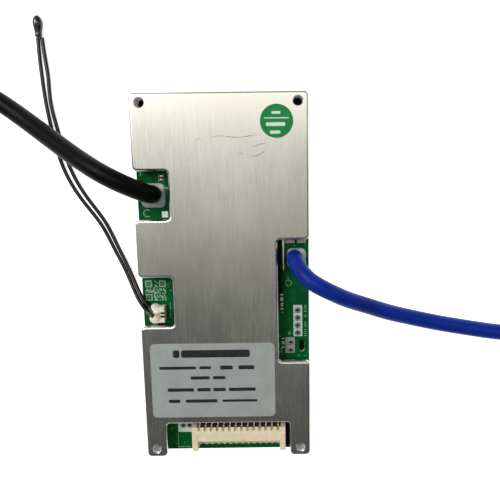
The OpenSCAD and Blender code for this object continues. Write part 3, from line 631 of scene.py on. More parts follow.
def addBead():
    # the profile turned about Y, its radius * (1 + lobe * cos 3a * sin along)
    low, high = boxOf("sensor_bead")
    middle = (low + high) / 2
    v = beadShape
    profile = np.array(v["profile"])
    smooth = smoothPath(np.column_stack([profile, np.zeros(len(profile))]), v["step"])[:, :2]
    smooth[:, 0] = np.maximum(smooth[:, 0], 0.0)
    angle = np.linspace(0, 2 * np.pi, v["sides"], endpoint=False)
    lobe = 1 + v["lobe"] * np.cos(3 * angle + 0.6) * np.sin(np.pi * smooth[:, 1:] / 6.4)
    r = smooth[:, :1] * lobe * v["slim"]
    x = middle[0] + r * np.cos(angle)
    z = middle[2] + r * np.sin(angle) * v["flatten"]
    y = np.broadcast_to(low[1] + smooth[:, 1:], x.shape)
    points = np.stack([x, y, z], -1).reshape(-1, 3)
    faces = [f[::-1] for f in gridFaces(len(smooth), len(angle), True).tolist()]
    return welded(addPiece("sensorBead", points, faces, "resin", sharpAngle=80, replaced=["sensor_bead"]))


def addCords():
    # the two leads, and the wires that carry the bead
    addLead("blackLead", blackLead, "black_silicone", "black_lead", "black_lead_end", "black_core")
    addLead("blueLead", blueLead, "blue_silicone", "blue_lead", "blue_lead_end", "blue_core")
    wires = addSensorWires()
    bead = addBead()


# the plate: one filleted outline, its edge rolled over, four chamfered holes

plateShape = {
    "cornerRadius": 1.5, "notchRadius": 1.2, "edgeRound": 0.8, "underRound": 0.15,
    "leftDepth": 10.85, "rightDepth": 10.0, "frontDepth": 11.6, "earWidth": 6.75,
    "blackNotch": (78.8, 14.9), "sensorNotch": (44.7, 15.8), "blueNotch": (32.6, 39.4),
    "holeInset": (3.25, 3.0), "holeWidth": 2.8, "chamfer": 0.2,
}


def filletedLoop(corners, radii, steps=7):
    # each corner becomes a quarter circle; gives points and outward normals, anticlockwise
    c = np.asarray(corners, float)
    before, after = unitRows(np.roll(c, 1, 0) - c), unitRows(np.roll(c, -1, 0) - c)
    r = np.asarray(radii, float)[:, None]
    centre = c + r * (before + after)
    turn = -before[:, 0] * after[:, 1] + before[:, 1] * after[:, 0]   # above 0 where the corner is convex
    s = np.linspace(0, np.pi / 2, steps)[None, :, None]
    radial = -after[:, None] * np.cos(s) - before[:, None] * np.sin(s)
    points = centre[:, None] + r[:, None] * radial
    outward = radial * np.sign(turn)[:, None, None]
    return points.reshape(-1, 2), outward.reshape(-1, 2)


def circleLoop(middle, radius, sides=40):
    # middle + radius * (cos, sin), anticlockwise
    a = np.linspace(0, 2 * np.pi, sides, endpoint=False)
    return np.asarray(middle, float) + radius * np.stack([np.cos(a), np.sin(a)], 1)


def flatFill(loops, height, upwards):
    # a flat face inside the first loop and outside the others
    lines = [[(float(x), float(y), 0.0) for x, y in loop] for loop in loops]
    faces = np.array(tessellate_polygon(lines))
    points = np.concatenate(loops)
    a, b, c = points[faces[:, 0]], points[faces[:, 1]], points[faces[:, 2]]
    area = (b[:, 0] - a[:, 0]) * (c[:, 1] - a[:, 1]) - (b[:, 1] - a[:, 1]) * (c[:, 0] - a[:, 0])
    faces = faces[np.abs(area) > 1e-9]
    area = area[np.abs(area) > 1e-9]
    wrong = (area > 0) != upwards
    faces[wrong] = faces[wrong][:, ::-1]
    return np.column_stack([points, np.full(len(points), height)]), faces.tolist()


def wallAlong(points, outward, profile):
    # a profile of (inset, height) carried round a closed outline, from its foot up
    inset, height = np.asarray(profile, float).T
    ring = points[None] - outward[None] * inset[:, None, None]
    z = np.broadcast_to(height[:, None, None], (*ring.shape[:2], 1))
    return np.concatenate([ring, z], -1).reshape(-1, 3), gridFaces(len(profile), len(points), True).tolist()


def holeWall(middle, profile, sides=40):
    # a (radius, height) profile round a hole, its faces towards the hole's middle
    points, faces = lathe(profile, middle, sides)
    return points, [f[::-1] for f in faces]


def slabWithHoles(outline, outward, edge, holes, topHeight, bottomHeight):
    # edge is the rim's profile; holes are lists of (middle, profile)
    parts = [wallAlong(outline, outward, edge)]
    topInset, bottomInset = edge[-1][0], edge[0][0]
    topLoops, bottomLoops = [outline - outward * topInset], [outline - outward * bottomInset]
    for middle, profile in holes:
        parts.append(holeWall(middle, profile))
        topLoops.append(circleLoop(middle, profile[-1][0]))
        bottomLoops.append(circleLoop(middle, profile[0][0]))
    wallCount = sum(len(f) for _, f in parts)
    parts.append(flatFill(topLoops, topHeight, True))
    parts.append(flatFill(bottomLoops, bottomHeight, False))
    return parts, wallCount


def welded(piece, distance=0.0005):
    # joins corners nearer than distance, in millimetres
    shape = bmesh.new()
    shape.from_mesh(piece.data)
    bmesh.ops.remove_doubles(shape, verts=shape.verts, dist=distance * mm)
    shape.to_mesh(piece.data)
    shape.free()
    return piece


def plateOutline():
    # anticlockwise from the back right corner; the third number is 1 at a notch's inner corner
    left, right, front, back = plateLow[0], plateHigh[0], plateLow[1], plateHigh[1]
    v = plateShape
    notches = ("blackNotch", "sensorNotch", "blueNotch")
    span = {key: (front + v[key][0], front + sum(v[key])) for key in notches}
    inLeft, inRight = left + v["leftDepth"], right - v["rightDepth"]
    earLeft, earRight, deep = left + v["earWidth"], right - v["earWidth"], front + v["frontDepth"]
    corners = [(right, back, 0), (left, back, 0)]
    for low, high in (span["blackNotch"], span["sensorNotch"]):
        corners += [(left, high, 0), (inLeft, high, 1), (inLeft, low, 1), (left, low, 0)]
    corners += [(left, front, 0), (earLeft, front, 0), (earLeft, deep, 1), (earRight, deep, 1),
                (earRight, front, 0), (right, front, 0)]
    low, high = span["blueNotch"]
    corners += [(right, low, 0), (inRight, low, 1), (inRight, high, 1), (right, high, 0)]
    table = np.array(corners, float)
    radii = np.where(table[:, 2] > 0, v["notchRadius"], v["cornerRadius"])
    return filletedLoop(table[:, :2], radii)


def cornerPlaces():
    # the middles of the four corner holes
    x, y = plateHigh[0] - plateShape["holeInset"][0], plateHigh[1] - plateShape["holeInset"][1]
    return [(sx * x, sy * y) for sx in (-1, 1) for sy in (-1, 1)]


def addPlate():
    # the rim and the holes are profiles carried round; below their chamfers the holes show bright metal
    outline, outward = plateOutline()
    v, low, high = plateShape, plateLow[2], plateHigh[2]
    bend = np.linspace(0, np.pi / 2, 7)
    r, u = v["edgeRound"], v["underRound"]
    rim = [(u + 0.06, low), (u, low), (0, low + u)]
    rim += list(zip(r * (1 - np.cos(bend)), high - r + r * np.sin(bend))) + [(r + 0.08, high)]
    hole, c = v["holeWidth"] / 2, v["chamfer"]
    wall = [(hole, low), (hole, high - c), (hole + c * 0.3, high - c * 0.45), (hole + c, high),
            (hole + c + 0.05, high)]
    holes = [(place, wall) for place in cornerPlaces()]
    parts, wallCount = slabWithHoles(outline, outward, rim, holes, high, low)
    points, faces = joined(parts)
    kinds = np.zeros(len(faces), int)
    first = len(parts[0][1])
    heights = points[np.array(faces[first:wallCount])][:, :, 2].mean(1)
    kinds[first:wallCount] = heights < high - c - 0.01
    welded(addPiece("plate", points, faces, "plate", kinds, ["plate", "spacer_metal"], 30, ["plate"]))


# softened copies of CAD nodes: loose triangles joined into flat faces, their edges rolled over


def softenedCopy(nodeName, pieceName, slotName, width, segments=2, materialNames=None, sideMaterial=None):
    # the node's faces with edges sharper than 35 degrees rounded over width mm
    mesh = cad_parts[nodeName].data.copy()
    mesh.name = pieceName
    shape = bmesh.new()
    shape.from_mesh(mesh)
    bmesh.ops.remove_doubles(shape, verts=shape.verts, dist=0.002 * mm)
    bmesh.ops.dissolve_limit(shape, angle_limit=math.radians(2), verts=shape.verts, edges=shape.edges)
    bmesh.ops.recalc_face_normals(shape, faces=shape.faces)
    shape.to_mesh(mesh)
    shape.free()
    mesh.materials.clear()
    for key in materialNames or [slotName]:
        mesh.materials.append(materials[key])
    if sideMaterial is not None:
        normals = np.empty(len(mesh.polygons) * 3)
        mesh.polygons.foreach_get("normal", normals)
        upright = np.abs(normals.reshape(-1, 3)[:, 2]) < 0.5
        mesh.polygons.foreach_set("material_index", np.where(upright, sideMaterial, 0).astype(np.int32))
    else:
        mesh.polygons.foreach_set("material_index", np.zeros(len(mesh.polygons), np.int32))
    mesh.polygons.foreach_set("use_smooth", np.ones(len(mesh.polygons), bool))
    mesh.set_sharp_from_angle(angle=math.radians(32))
    mesh.update()
    piece = bpy.data.objects.new(pieceName, mesh)
    scene.collection.objects.link(piece)
    bevel = piece.modifiers.new("softEdge", "BEVEL")
    bevel.width = width * mm
    bevel.segments = segments
    bevel.limit_method = "ANGLE"
    bevel.angle_limit = math.radians(35)
    bevel.harden_normals = True
    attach(piece, "root")
    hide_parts(nodeName)


softCopies = [
    # node, piece, slot, edge width in mm
    ("transistor_bodies", "transistorBodies", "chip_body", 0.10),
    ("transistor_tabs", "transistorTabs", "tinned_copper", 0.05),
    ("monitor_chip", "monitorChip", "chip_body", 0.10),
    ("controller_chip", "controllerChip", "chip_body", 0.08),
    ("balance_resistors", "balanceResistors", "resistor_body", 0.05),
    ("balance_resistor_ends", "balanceResistorEnds", "tinned_copper", 0.07),
    ("capacitors", "ceramicCapacitors", "capacitor_body", 0.05),
    ("capacitor_ends", "capacitorEnds", "tinned_copper", 0.07),
    ("edge_resistors", "edgeResistors", "resistor_body", 0.05),
    ("edge_resistor_ends", "edgeResistorEnds", "tinned_copper", 0.06),
    ("thermal_pad", "thermalPad", "thermal_pad", 0.15),
    ("marker_block", "markerBlock", "white_plastic", 0.16),
    ("sensor_pins", "sensorPins", "contact_metal", 0.06),
    ("socket_contacts", "socketContacts", "contact_metal", 0.07),
]


shuntShape = {
    "strips": [(19.45, 22.55), (23.2, 26.1)], "front": 11.85, "edge": 0.14,
    "sheet": 0.4, "foot": 1.1, "footEdge": 0.02, "footInset": 0.02, "footLift": 0.01, "footNarrower": 0.1,
}


def addShunts():
    # two bridges of rolled strip: feet at both ends, the middle lifted off the board
    low, high = boxOf("shunts")
    v = shuntShape
    sheet, foot = v["sheet"], v["foot"]
    y0, y1 = v["front"], high[1]
    parts = []
    for x0, x1 in v["strips"]:
        middle, width = (x0 + x1) / 2, x1 - x0
        bridge = [(middle, (y0 + y1) / 2, high[2] - sheet / 2)]
        parts.append(boxGrid(bridge, (width, y1 - y0, sheet), v["edge"]))
        reach = foot / 2 + v["footInset"]
        feet = [(middle, y, low[2] + sheet / 2 + v["footLift"]) for y in (y0 + reach, y1 - reach)]
        parts.append(boxGrid(feet, (width - v["footNarrower"], foot, sheet), v["footEdge"]))
    addParts("shuntStrips", parts, "shunt_alloy", sharpAngle=25, replaced=["shunts"])


busBarShape = {
    "width": 0.62, "edge": 0.12, "taper": 0.55, "taperLength": 9.0, "wave": 0.02, "steps": 60,
    # where each bar starts and ends along Y
    "spans": [(-9.0, 29.65), (3.5, 34.0)],
}


def addBusBars():
    # upright strips: x = middle + wave * sin(0.9 y) +- half(y), upper edges rolled over by a quarter circle
    low, high = boxOf("bus_bars")
    v = busBarShape
    e, top = v["edge"], high[2] - 0.02
    bend = np.linspace(0, np.pi / 2, 5)
    inset = np.concatenate([[0], e * (1 - np.cos(bend))])
    rise = np.concatenate([[boardTop + 0.02], top - e + e * np.sin(bend)])
    side = np.repeat([1, -1], len(rise))
    inset, rise = np.concatenate([inset, inset[::-1]]), np.concatenate([rise, rise[::-1]])
    middles = (low[0] + 0.6, high[0] - v["width"] / 2 - 0.05)
    parts = []
    for middle, (y0, y1) in zip(middles, v["spans"]):
        y = np.linspace(y0, y1, v["steps"])[:, None]
        half = v["width"] / 2 * (v["taper"] + (1 - v["taper"]) * np.clip((y - y0) / v["taperLength"], 0, 1))
        x = middle + v["wave"] * np.sin(0.9 * y) + side * (half - inset)
        points = np.stack(np.broadcast_arrays(x, y, rise), -1).reshape(-1, 3)
        faces = [f[::-1] for f in gridFaces(len(y), len(rise), True).tolist()]
        faces.append(list(range(len(rise))))
        faces.append(list(range(len(points) - 1, len(points) - len(rise) - 1, -1)))
        parts.append((points, faces))
    addParts("busBars", parts, "tinned_copper", sharpAngle=40, replaced=["bus_bars"])


def addSoftCopies():
    # the small parts of the table, and the board with its sawn edge
    for nodeName, pieceName, slotName, width in softCopies:
        softenedCopy(nodeName, pieceName, slotName, width)
    softenedCopy("board", "circuitBoard", "circuit_board", 0.09, 2, ["circuit_board", "glassEdge"], 1)


# the socket: the softened housing, painted shade in its pockets and behind it, the contacts' shoulders, cheek
# pads and ribs

socketShape = {
    "edge": 0.16, "pitch": 2.0, "ways": 14, "firstContact": 0.25,
    # sizes, and places from the housing's front, back and top
    "pocket": {"size": (0.86, 1.18, 0.02), "back": -0.66, "top": -0.49},
    "backShade": {"beyond": 1.7, "thickness": 0.05, "lower": 0.5, "back": 0.02, "drop": 0.12},
    "shoulder": {"size": (0.56, 0.3, 0.9), "edge": 0.12, "back": 0.14, "top": -1.15},
    "cheek": {"width": 1.9, "narrower": 0.1, "length": 5.7, "height": 0.2, "edge": 0.08, "front": 0.1},
    "rib": {"size": (0.42, 0.12, 0.5), "edge": 0.05, "front": 3.36, "top": -0.82},
}


def boxGrid(centres, size, edge=0.0):
    # many small boxes at once, their upper edges drawn in by edge
    x, y, z = np.asarray(size, float) / 2
    e = edge
    corners = np.array([(-x, -y, -z), (x, -y, -z), (x, y, -z), (-x, y, -z),
                        (-x, -y, z - e), (x, -y, z - e), (x, y, z - e), (-x, y, z - e),
                        (-x + e, -y + e, z), (x - e, -y + e, z), (x - e, y - e, z), (-x + e, y - e, z)])
    faces = [(3, 2, 1, 0), (0, 1, 5, 4), (1, 2, 6, 5), (2, 3, 7, 6), (3, 0, 4, 7),
             (4, 5, 9, 8), (5, 6, 10, 9), (6, 7, 11, 10), (7, 4, 8, 11), (8, 9, 10, 11)]
    centres = np.asarray(centres, float)
    points = (centres[:, None] + corners[None]).reshape(-1, 3)
    table = (np.array(faces)[None] + 12 * np.arange(len(centres))[:, None, None]).reshape(-1, 4)
    return points, table.tolist()


def contactRow():
    # middles of the contacts along X: first + pitch * k
    v = socketShape
    return boxOf("socket_contacts")[0][0] + v["firstContact"] + v["pitch"] * np.arange(v["ways"])


def rowOf(x, y, z):
    # places that share a y and a z
    return np.column_stack(np.broadcast_arrays(x, y, z))


def addSocket():
    # small boxes on the softened housing, most of them in a row at the contacts' x
    v = socketShape
    softenedCopy("socket_housing", "socketHousing", "socket_plastic", v["edge"], 3)
    low, high = boxOf("socket_housing")
    x = contactRow()
    # painted shade: darker floors of the pockets above the contacts
    pocket = v["pocket"]
    places = rowOf(x, high[1] + pocket["back"], high[2] + pocket["top"])
    addParts("pocketFloorShade", [boxGrid(places, pocket["size"])], "socket_plastic",
             materialNames=["pocketShade"])
    # behind the housing: a sheet of painted shade for the shadowed slots, and the contacts' shoulders
    # standing out of the slots
    shade = v["backShade"]
    places = [((x[0] + x[-1]) / 2, high[1] + shade["back"], (boardTop + high[2]) / 2 - shade["drop"])]
    size = (x[-1] - x[0] + shade["beyond"], shade["thickness"], high[2] - boardTop - shade["lower"])
    addParts("socketBackShade", [boxGrid(places, size)], "socket_plastic", materialNames=["slotShade"])
    shoulder = v["shoulder"]
    places = rowOf(x, high[1] + shoulder["back"], high[2] + shoulder["top"])
    addParts("contactShoulders", [boxGrid(places, shoulder["size"], shoulder["edge"])], "contact_metal")
    # low pads on the two cheeks, nearly as wide as the cheeks
    cheek = v["cheek"]
    size = (cheek["width"] - cheek["narrower"], cheek["length"], cheek["height"])
    sides = np.array([low[0] + cheek["width"] / 2, high[0] - cheek["width"] / 2])
    places = rowOf(sides, low[1] + cheek["front"] + size[1] / 2, high[2] + size[2] / 2)
    addParts("cheekPads", [boxGrid(places, size, cheek["edge"])], "socket_plastic")
    # small ribs on the roof's front edge between the ways
    rib = v["rib"]
    places = rowOf(x[:-1] + v["pitch"] / 2, low[1] + rib["front"], high[2] + rib["top"])
    addParts("socketRibs", [boxGrid(places, rib["size"], rib["edge"])], "socket_plastic")


tailShape = {
    # radius and height above the pad
    "profile": [(0.74, 0.0, 0), (0.62, 0.10, 0), (0.47, 0.24, 0), (0.37, 0.42, 0), (0.33, 0.56, 0)],
    "step": 0.07, "sides": 20, "vary": 0.04,
}


def addTailSolder():
    # each tail stands in a small cone of solder that sinks to the pad, its width * (1 - vary * sin 2.3k)
    low, high = boxOf("socket_solder")
    v = tailShape
    profile = smoothPath(v["profile"], v["step"])[:, :2]
    y = (low[1] + high[1]) / 2
    parts = []
    for k, x in enumerate(contactRow()):
        ring = profile * (1 - v["vary"] * math.sin(2.3 * k), 1) + (0, low[2])
        parts.append(lathe(ring, (x, y), v["sides"]))
    addParts("tailSolder", parts, "solder", sharpAngle=70, replaced=["socket_solder"])


# solder mounds: a rounded square of solder, domed, that climbs the strands

moundShape = {
    "rings": 30, "sides": 96, "corner": 1.7, "lip": 0.26, "lipRun": 0.6, "dome": 0.30, "climb": 1.0,
    "fall": 0.95, "ripple": 0.03,
}


def roundedSquareReach(angle, half, corner):
    # distance from the middle to a rounded square's rim along each angle, by bisection
    c, d = np.abs(np.cos(angle)), np.abs(np.sin(angle))
    low, high = np.zeros_like(angle), np.full_like(angle, 2 * half)
    for _ in range(40):
        r = (low + high) / 2
        x, y = r * c - (half - corner), r * d - (half - corner)
        out = np.hypot(np.maximum(x, 0), np.maximum(y, 0)) + np.minimum(np.maximum(x, y), 0) > corner
        low, high = np.where(out, low, r), np.where(out, r, high)
    return low


def addMound(name, boxPair, coreNode, extra):
    # height = lip + dome + climb * exp(-away / fall) + ripple, away measured from the strands
    low, high = boxPair
    coreLow, coreHigh = boxOf(coreNode)
    axis, coreRadius = (coreLow[:2] + coreHigh[:2]) / 2, (coreHigh[0] - coreLow[0]) / 2
    middle, half = (low[:2] + high[:2]) / 2, (high[0] - low[0]) / 2 + extra
    v = moundShape
    angle = np.linspace(0, 2 * np.pi, v["sides"], endpoint=False)
    share = np.linspace(0, 1, v["rings"])[::-1] ** 0.7
    reach = roundedSquareReach(angle, half, v["corner"])
    r = share[:, None] * reach[None]
    x, y = middle[0] + r * np.cos(angle), middle[1] + r * np.sin(angle)
    rim = reach[None] - r
    lip = v["lip"] * np.sqrt(np.clip(1 - (1 - np.clip(rim / v["lipRun"], 0, 1)) ** 2, 0, 1))
    dome = v["dome"] * (1 - share[:, None] ** 3)
    away = np.maximum(np.hypot(x - axis[0], y - axis[1]) - coreRadius, 0)
    climb = v["climb"] * np.exp(-away / v["fall"]) * (1 - share[:, None] ** 6)
    ripple = v["ripple"] * np.sin(1.9 * x + 0.7) * np.cos(1.5 * y) * (1 - share[:, None] ** 4)
    z = np.minimum(boardTop + 0.02 + lip + dome + climb + ripple, high[2] - 0.02)
    points = np.stack([x, y, z], -1).reshape(-1, 3)
    faces = gridFaces(v["rings"], v["sides"], True).tolist()
    welded(addPiece(name, points, faces, "solder", sharpAngle=75))


def addMounds():
    # each mound stands for its solder, and the two together for the pads
    for name, node, core, extra in (("blackMound", "black_solder", "black_core", 0.15),
                                    ("blueMound", "blue_solder", "blue_core", 0.3)):
        addMound(name, boxOf(node), core, extra)
    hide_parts("black_solder", "lead_pads")
    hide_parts("blue_solder", "lead_pads")


# sensor socket and its glue

# the pins' mouths are flat films of painted shade on the socket's top
sensorShape = {
    "edge": 0.18, "mouth": (1.5, 0.62, 0.02), "mouthInset": 0.3, "mouthShift": 0.25, "mouthLift": 0.005,
}
glueShape = {
    "middle": (-22.75, -10.55, 4.75),
    # place from the middle, and size, of each ball the lump follows
    "blobs": [(-0.05, 1.25, -1.15, 2.05), (-0.1, -1.45, -1.25, 2.15), (0.85, 0.75, 0.0, 1.72),
              (0.8, -0.95, -0.05, 1.75), (0.1, 0.0, -1.0, 1.9)],
    "blend": 0.15, "over": 1.0,
}
stubShape = {
    "from": (-25.1, -8.95, 4.75), "to": (-22.95, -10.95, 5.85), "gap": (0.62, 0.34), "diameter": 1.16,
    "taper": (1, 1, 1, 1, 1, 1, 0.93, 0.7),
}


def addSensorSocket():
    # the softened socket, and a film of painted shade at the mouth of each of its two pins
    v = sensorShape
    softenedCopy("sensor_socket", "sensorSocket", "sensor_plastic", v["edge"], 3)
    low, high = boxOf("sensor_pins")
    top = boxOf("sensor_socket")[1][2] + v["mouthLift"]
    x = (low[0] + high[0]) / 2 + v["mouthShift"]
    places = [(x, y, top) for y in (low[1] + v["mouthInset"], high[1] - v["mouthInset"])]
    addParts("sensorPinMouthShade", [boxGrid(places, v["mouth"])], "sensor_plastic", materialNames=["deepShade"])


def addGlue():
    # a lump that follows the largest of several balls, blended by a soft maximum, on a (turn, rise) grid
    high = boxOf("sensor_glue")[1]
    v = glueShape
    middle = np.array(v["middle"])
    turn = np.linspace(0, 2 * np.pi, 96, endpoint=False)
    rise = np.linspace(-0.5 * np.pi, 0.5 * np.pi, 49)
    t, r = np.meshgrid(turn, rise)
    ways = np.stack([np.cos(r) * np.cos(t), np.cos(r) * np.sin(t), np.sin(r)], -1)
    total = np.zeros(t.shape)
    for x, y, z, size in v["blobs"]:
        c = np.array([x, y, z])
        along = ways @ c
        inner = np.clip(along ** 2 - c @ c + size ** 2, 0, None)
        out = np.where(inner > 0, along + np.sqrt(inner), 0.3)
        total += np.exp(out / v["blend"])
    reach = v["blend"] * np.log(total)
    reach *= 1 + 0.03 * np.sin(3 * t + 1.1) * np.cos(2.2 * r) + 0.015 * np.sin(7 * t) * np.cos(3 * r)
    points = middle + reach[..., None] * ways
    points[..., 2] = np.clip(points[..., 2], boardTop + 0.01, high[2] + v["over"])
    points[..., 0] = np.maximum(points[..., 0], boardLow[0] + 0.3)
    faces = gridFaces(len(rise), len(turn), True).tolist()
    welded(addPiece("glueLump", points.reshape(-1, 3), faces, "glue", sharpAngle=80,
                    replaced=["sensor_glue"]))


def addWireStubs():
    # the wires' last millimetres, half sunk in the glue: middle line +- gap, the gap closing towards the tip
    v = stubShape
    a, b = np.array(v["from"]), np.array(v["to"])
    way = unitRows((b - a)[None])[0]
    across = unitRows(np.array([[-way[1], way[0], 0.0]]))[0]
    share = np.linspace(0, 1, len(v["taper"]))[:, None]
    gap = v["gap"][0] + (v["gap"][1] - v["gap"][0]) * share
    radii = v["diameter"] / 2 * np.array(v["taper"])
    parts = [tubeAlong(a + sign * gap * across + (b - a) * share, radii, 20) for sign in (-1, 1)]
    addParts("sensorWireEnds", parts, "sensor_wire", sharpAngle=50)


# spacers: turned tubes with chamfered mouths and one groove, painted shade in their bores towards the bottom

spacerShape = {
    "bore": 1.4, "boreShadeDepth": 3.0, "sides": 40,
    # radius, the level it stands at, and how far above that level
    "profile": [(1.52, "foot", 0), (2.58, "foot", 0), (2.7, "foot", 0.12), (2.7, "under", -0.08),
                (2.62, "under", 0), (2.1, "under", 0), (2.1, "board", 0), (2.25, "board", 0),
                (2.3, "board", 0.08), (2.22, "board", 0.2), (2.3, "board", 0.32), (2.3, "top", -0.3),
                (2.2, "top", -0.02), (1.55, "top", 0), (1.4, "top", -0.15), (1.4, "top", -3.0),
                (1.4, "foot", 0.12), (1.52, "foot", 0)],
}


def addSpacers():
    # one profile turned at each corner; the bore's faces deeper than the shade depth get painted shade
    low, high = boxOf("spacers")
    v = spacerShape
    levels = {"foot": low[2], "under": boardLow[2], "board": boardTop, "top": high[2]}
    shape = [(radius, levels[level] + above) for radius, level, above in v["profile"]]
    parts, kinds = [], []
    for middle in cornerPlaces():
        points, faces = lathe(shape, middle, v["sides"])
        parts.append((points, faces))
        centres = points[np.array(faces)].mean(1)
        reach = np.hypot(centres[:, 0] - middle[0], centres[:, 1] - middle[1])
        kinds.append((reach < v["bore"]) & (centres[:, 2] < high[2] - v["boreShadeDepth"]))
    addParts("turnedSpacers", parts, "spacer_metal", np.concatenate(kinds).astype(int),
             ["spacer_metal", "darkBarrel"], 35, ["spacers"])


# flat prints: thin prisms a hair above what they lie on


def thinPrism(loop, holes, low, high):
    # an outline with holes, upright from low to high and closed on top
    loop = np.asarray(loop, float)
    loops = [loop] + [np.asarray(h, float) for h in holes]
    parts = [flatFill(loops, high, True)]
    for k, line in enumerate(loops):
        n = len(line)
        points = np.concatenate([np.column_stack([line, np.full(n, z)]) for z in (low, high)])
        i = np.arange(n)
        j = (i + 1) % n
        quads = np.stack([i, j, j + n, i + n], 1)
        parts.append((points, (quads if k == 0 else quads[:, ::-1]).tolist()))
    return joined(parts)


def bar(x0, y0, x1, y1):
    # a rectangle's corners, anticlockwise
    return np.array([(x0, y0), (x1, y0), (x1, y1), (x0, y1)], float)


def roundedBar(x0, y0, x1, y1, radius, steps=5):
    # a rectangle with quarter circles for corners, and its outward normals
    return filletedLoop([(x1, y0), (x1, y1), (x0, y1), (x0, y0)], [radius] * 4, steps)


def arcBand(middle, radius, width, start, end, steps=16):
    # middle + (radius +- width / 2) * (cos, sin), from start to end degrees
    a = np.radians(np.linspace(start, end, steps))
    outer = np.stack([np.cos(a), np.sin(a)], 1) * (radius + width / 2)
    inner = np.stack([np.cos(a), np.sin(a)], 1)[::-1] * (radius - width / 2)
    return np.asarray(middle, float) + np.concatenate([outer, inner])


silkShape = {
    "lift": 0.022,
    "bars": [
        # black notch: a short line beside the small part, and its outline
        (-25.85, 33.7, -25.6, 35.1), (-20.15, 31.9, -19.95, 34.5), (-18.6, 31.9, -18.4, 34.5),
        (-18.3, 29.65, -17.2, 30.15),
        # right notch
        (19.98, 0.15, 20.6, 0.36), (20.1, 0.6, 20.5, 0.78),
        (17.45, -6.66, 17.8, -6.38), (17.45, -8.5, 17.8, -8.24), (17.45, -10.1, 17.8, -9.86),
        (18.15, -11.12, 18.6, -10.84), (23.3, -26.0, 23.8, -25.75), (25.55, -26.05, 26.0, -25.8),
        (22.05, 12.0, 22.35, 12.25), (25.75, 11.0, 26.05, 11.25), (22.3, 10.85, 22.7, 11.1),
        (25.45, -8.7, 26.2, -8.9), (25.45, -9.3, 26.2, -9.5), (25.45, -9.9, 26.2, -10.1),
        (25.45, -10.6, 26.2, -10.9),
        (25.45, -12.0, 26.2, -12.2), (25.45, -12.5, 26.2, -12.7), (25.45, -14.4, 26.2, -14.6),
        (25.45, -15.1, 26.2, -15.3), (25.45, -15.7, 26.2, -15.9), (25.45, -16.8, 26.2, -17.0),
        (25.45, -17.5, 26.2, -17.7), (25.45, -18.2, 26.2, -18.4), (25.45, -18.9, 26.2, -19.15),
        (20.25, -17.5, 20.5, -18.7), (20.7, -17.5, 20.9, -18.1), (20.7, -18.3, 21.2, -18.5),
        (17.3, -19.3, 17.55, -18.7), (16.95, -21.5, 17.2, -22.9), (17.4, -23.3, 18.2, -23.55),
        (17.1, -24.0, 17.35, -25.2), (17.6, -24.4, 18.2, -24.6),
        # sensor notch: a corner line round the socket
        (-18.35, -12.5, -18.15, -7.2), (-20.1, -13.75, -18.9, -13.55),
        (-20.3, -8.2, -19.6, -8.0), (-18.25, -9.3, -17.85, -9.1), (-20.0, -10.5, -19.4, -10.3),
        (-18.95, -1.15, -18.5, -0.95), (-18.05, -3.25, -17.6, -3.05), (-18.9, -2.1, -18.5, -1.9),
        # front notch: a small mark, and a corner line
        (-19.75, -51.15, -19.25, -50.85), (-17.7, -57.7, -17.53, -52.9), (-17.7, -57.85, -13.4, -57.68),
    ],
    # middle, radius, width, first and last degree, steps
    "arcs": [((-24.2, 22.0), 1.12, 0.3, 48, 312, 24), ((20.42, -1.26), 0.95, 0.2, 5, 355, 32)],
    "headerFour": (21.9, -19.25, 24.8, -8.6), "headerTwo": (19.15, -24.85, 22.25, -19.5),
    "testBlock": (-17.55, -52.4, -12.4, -48.7),
    "codeBlock": {"corner": (-26.1, -6.5), "cells": 15, "cell": 0.445},
}


def codeCells():
    # a made-up pattern of squares: three framed corners, and cells lit by a sum of two sines
    v = silkShape["codeBlock"]
    n = v["cells"]
    i, j = np.meshgrid(np.arange(n), np.arange(n), indexing="ij")
    lit = (np.sin(2.7 * i + 1.3 * j) + np.sin(1.1 * i * j + 0.6)) > 0.05
    for a, b in ((2, 2), (2, n - 3), (n - 3, n - 3)):
        away = np.maximum(np.abs(i - a), np.abs(j - b))
        lit = np.where(away <= 2, away != 1, lit & (away != 3))
    return v["corner"][0] + v["cell"] * i[lit], v["corner"][1] + v["cell"] * j[lit], v["cell"]


# drilled pads: a row of four, a pair, and two beside the socket

padShape = {
    "row": [(23.3, -10.4 - 2.54 * k) for k in range(4)],
    "pair": [(21.0, -21.2), (21.0, -24.05)],
    "front": [(-15.75, -50), (-13.65, -50)],
    # radius and height above the board: up the drilled hole first, then over the land
    "profile": [(0.45, -1.55), (0.45, 0.03), (0.5, 0.08), (0.59, 0.095), (0.775, 0.09), (0.855, 0.05),
                (0.875, 0.002)],
    "sides": 32, "barrelRows": 2,
    # radius of the window in the print round each kind, and half the gap between two of its squares
    "rowWindow": 1.0, "pairWindow": 0.9, "frontWindow": 0.95, "rowGap": 0.04, "pairGap": 0.06,
}


def windowed(bounds, middles, radius, low, high):
    # a bar of ink with a round window at each middle
    return thinPrism(bar(*bounds), [circleLoop(middle, radius, 28)[::-1] for middle in middles], low, high)


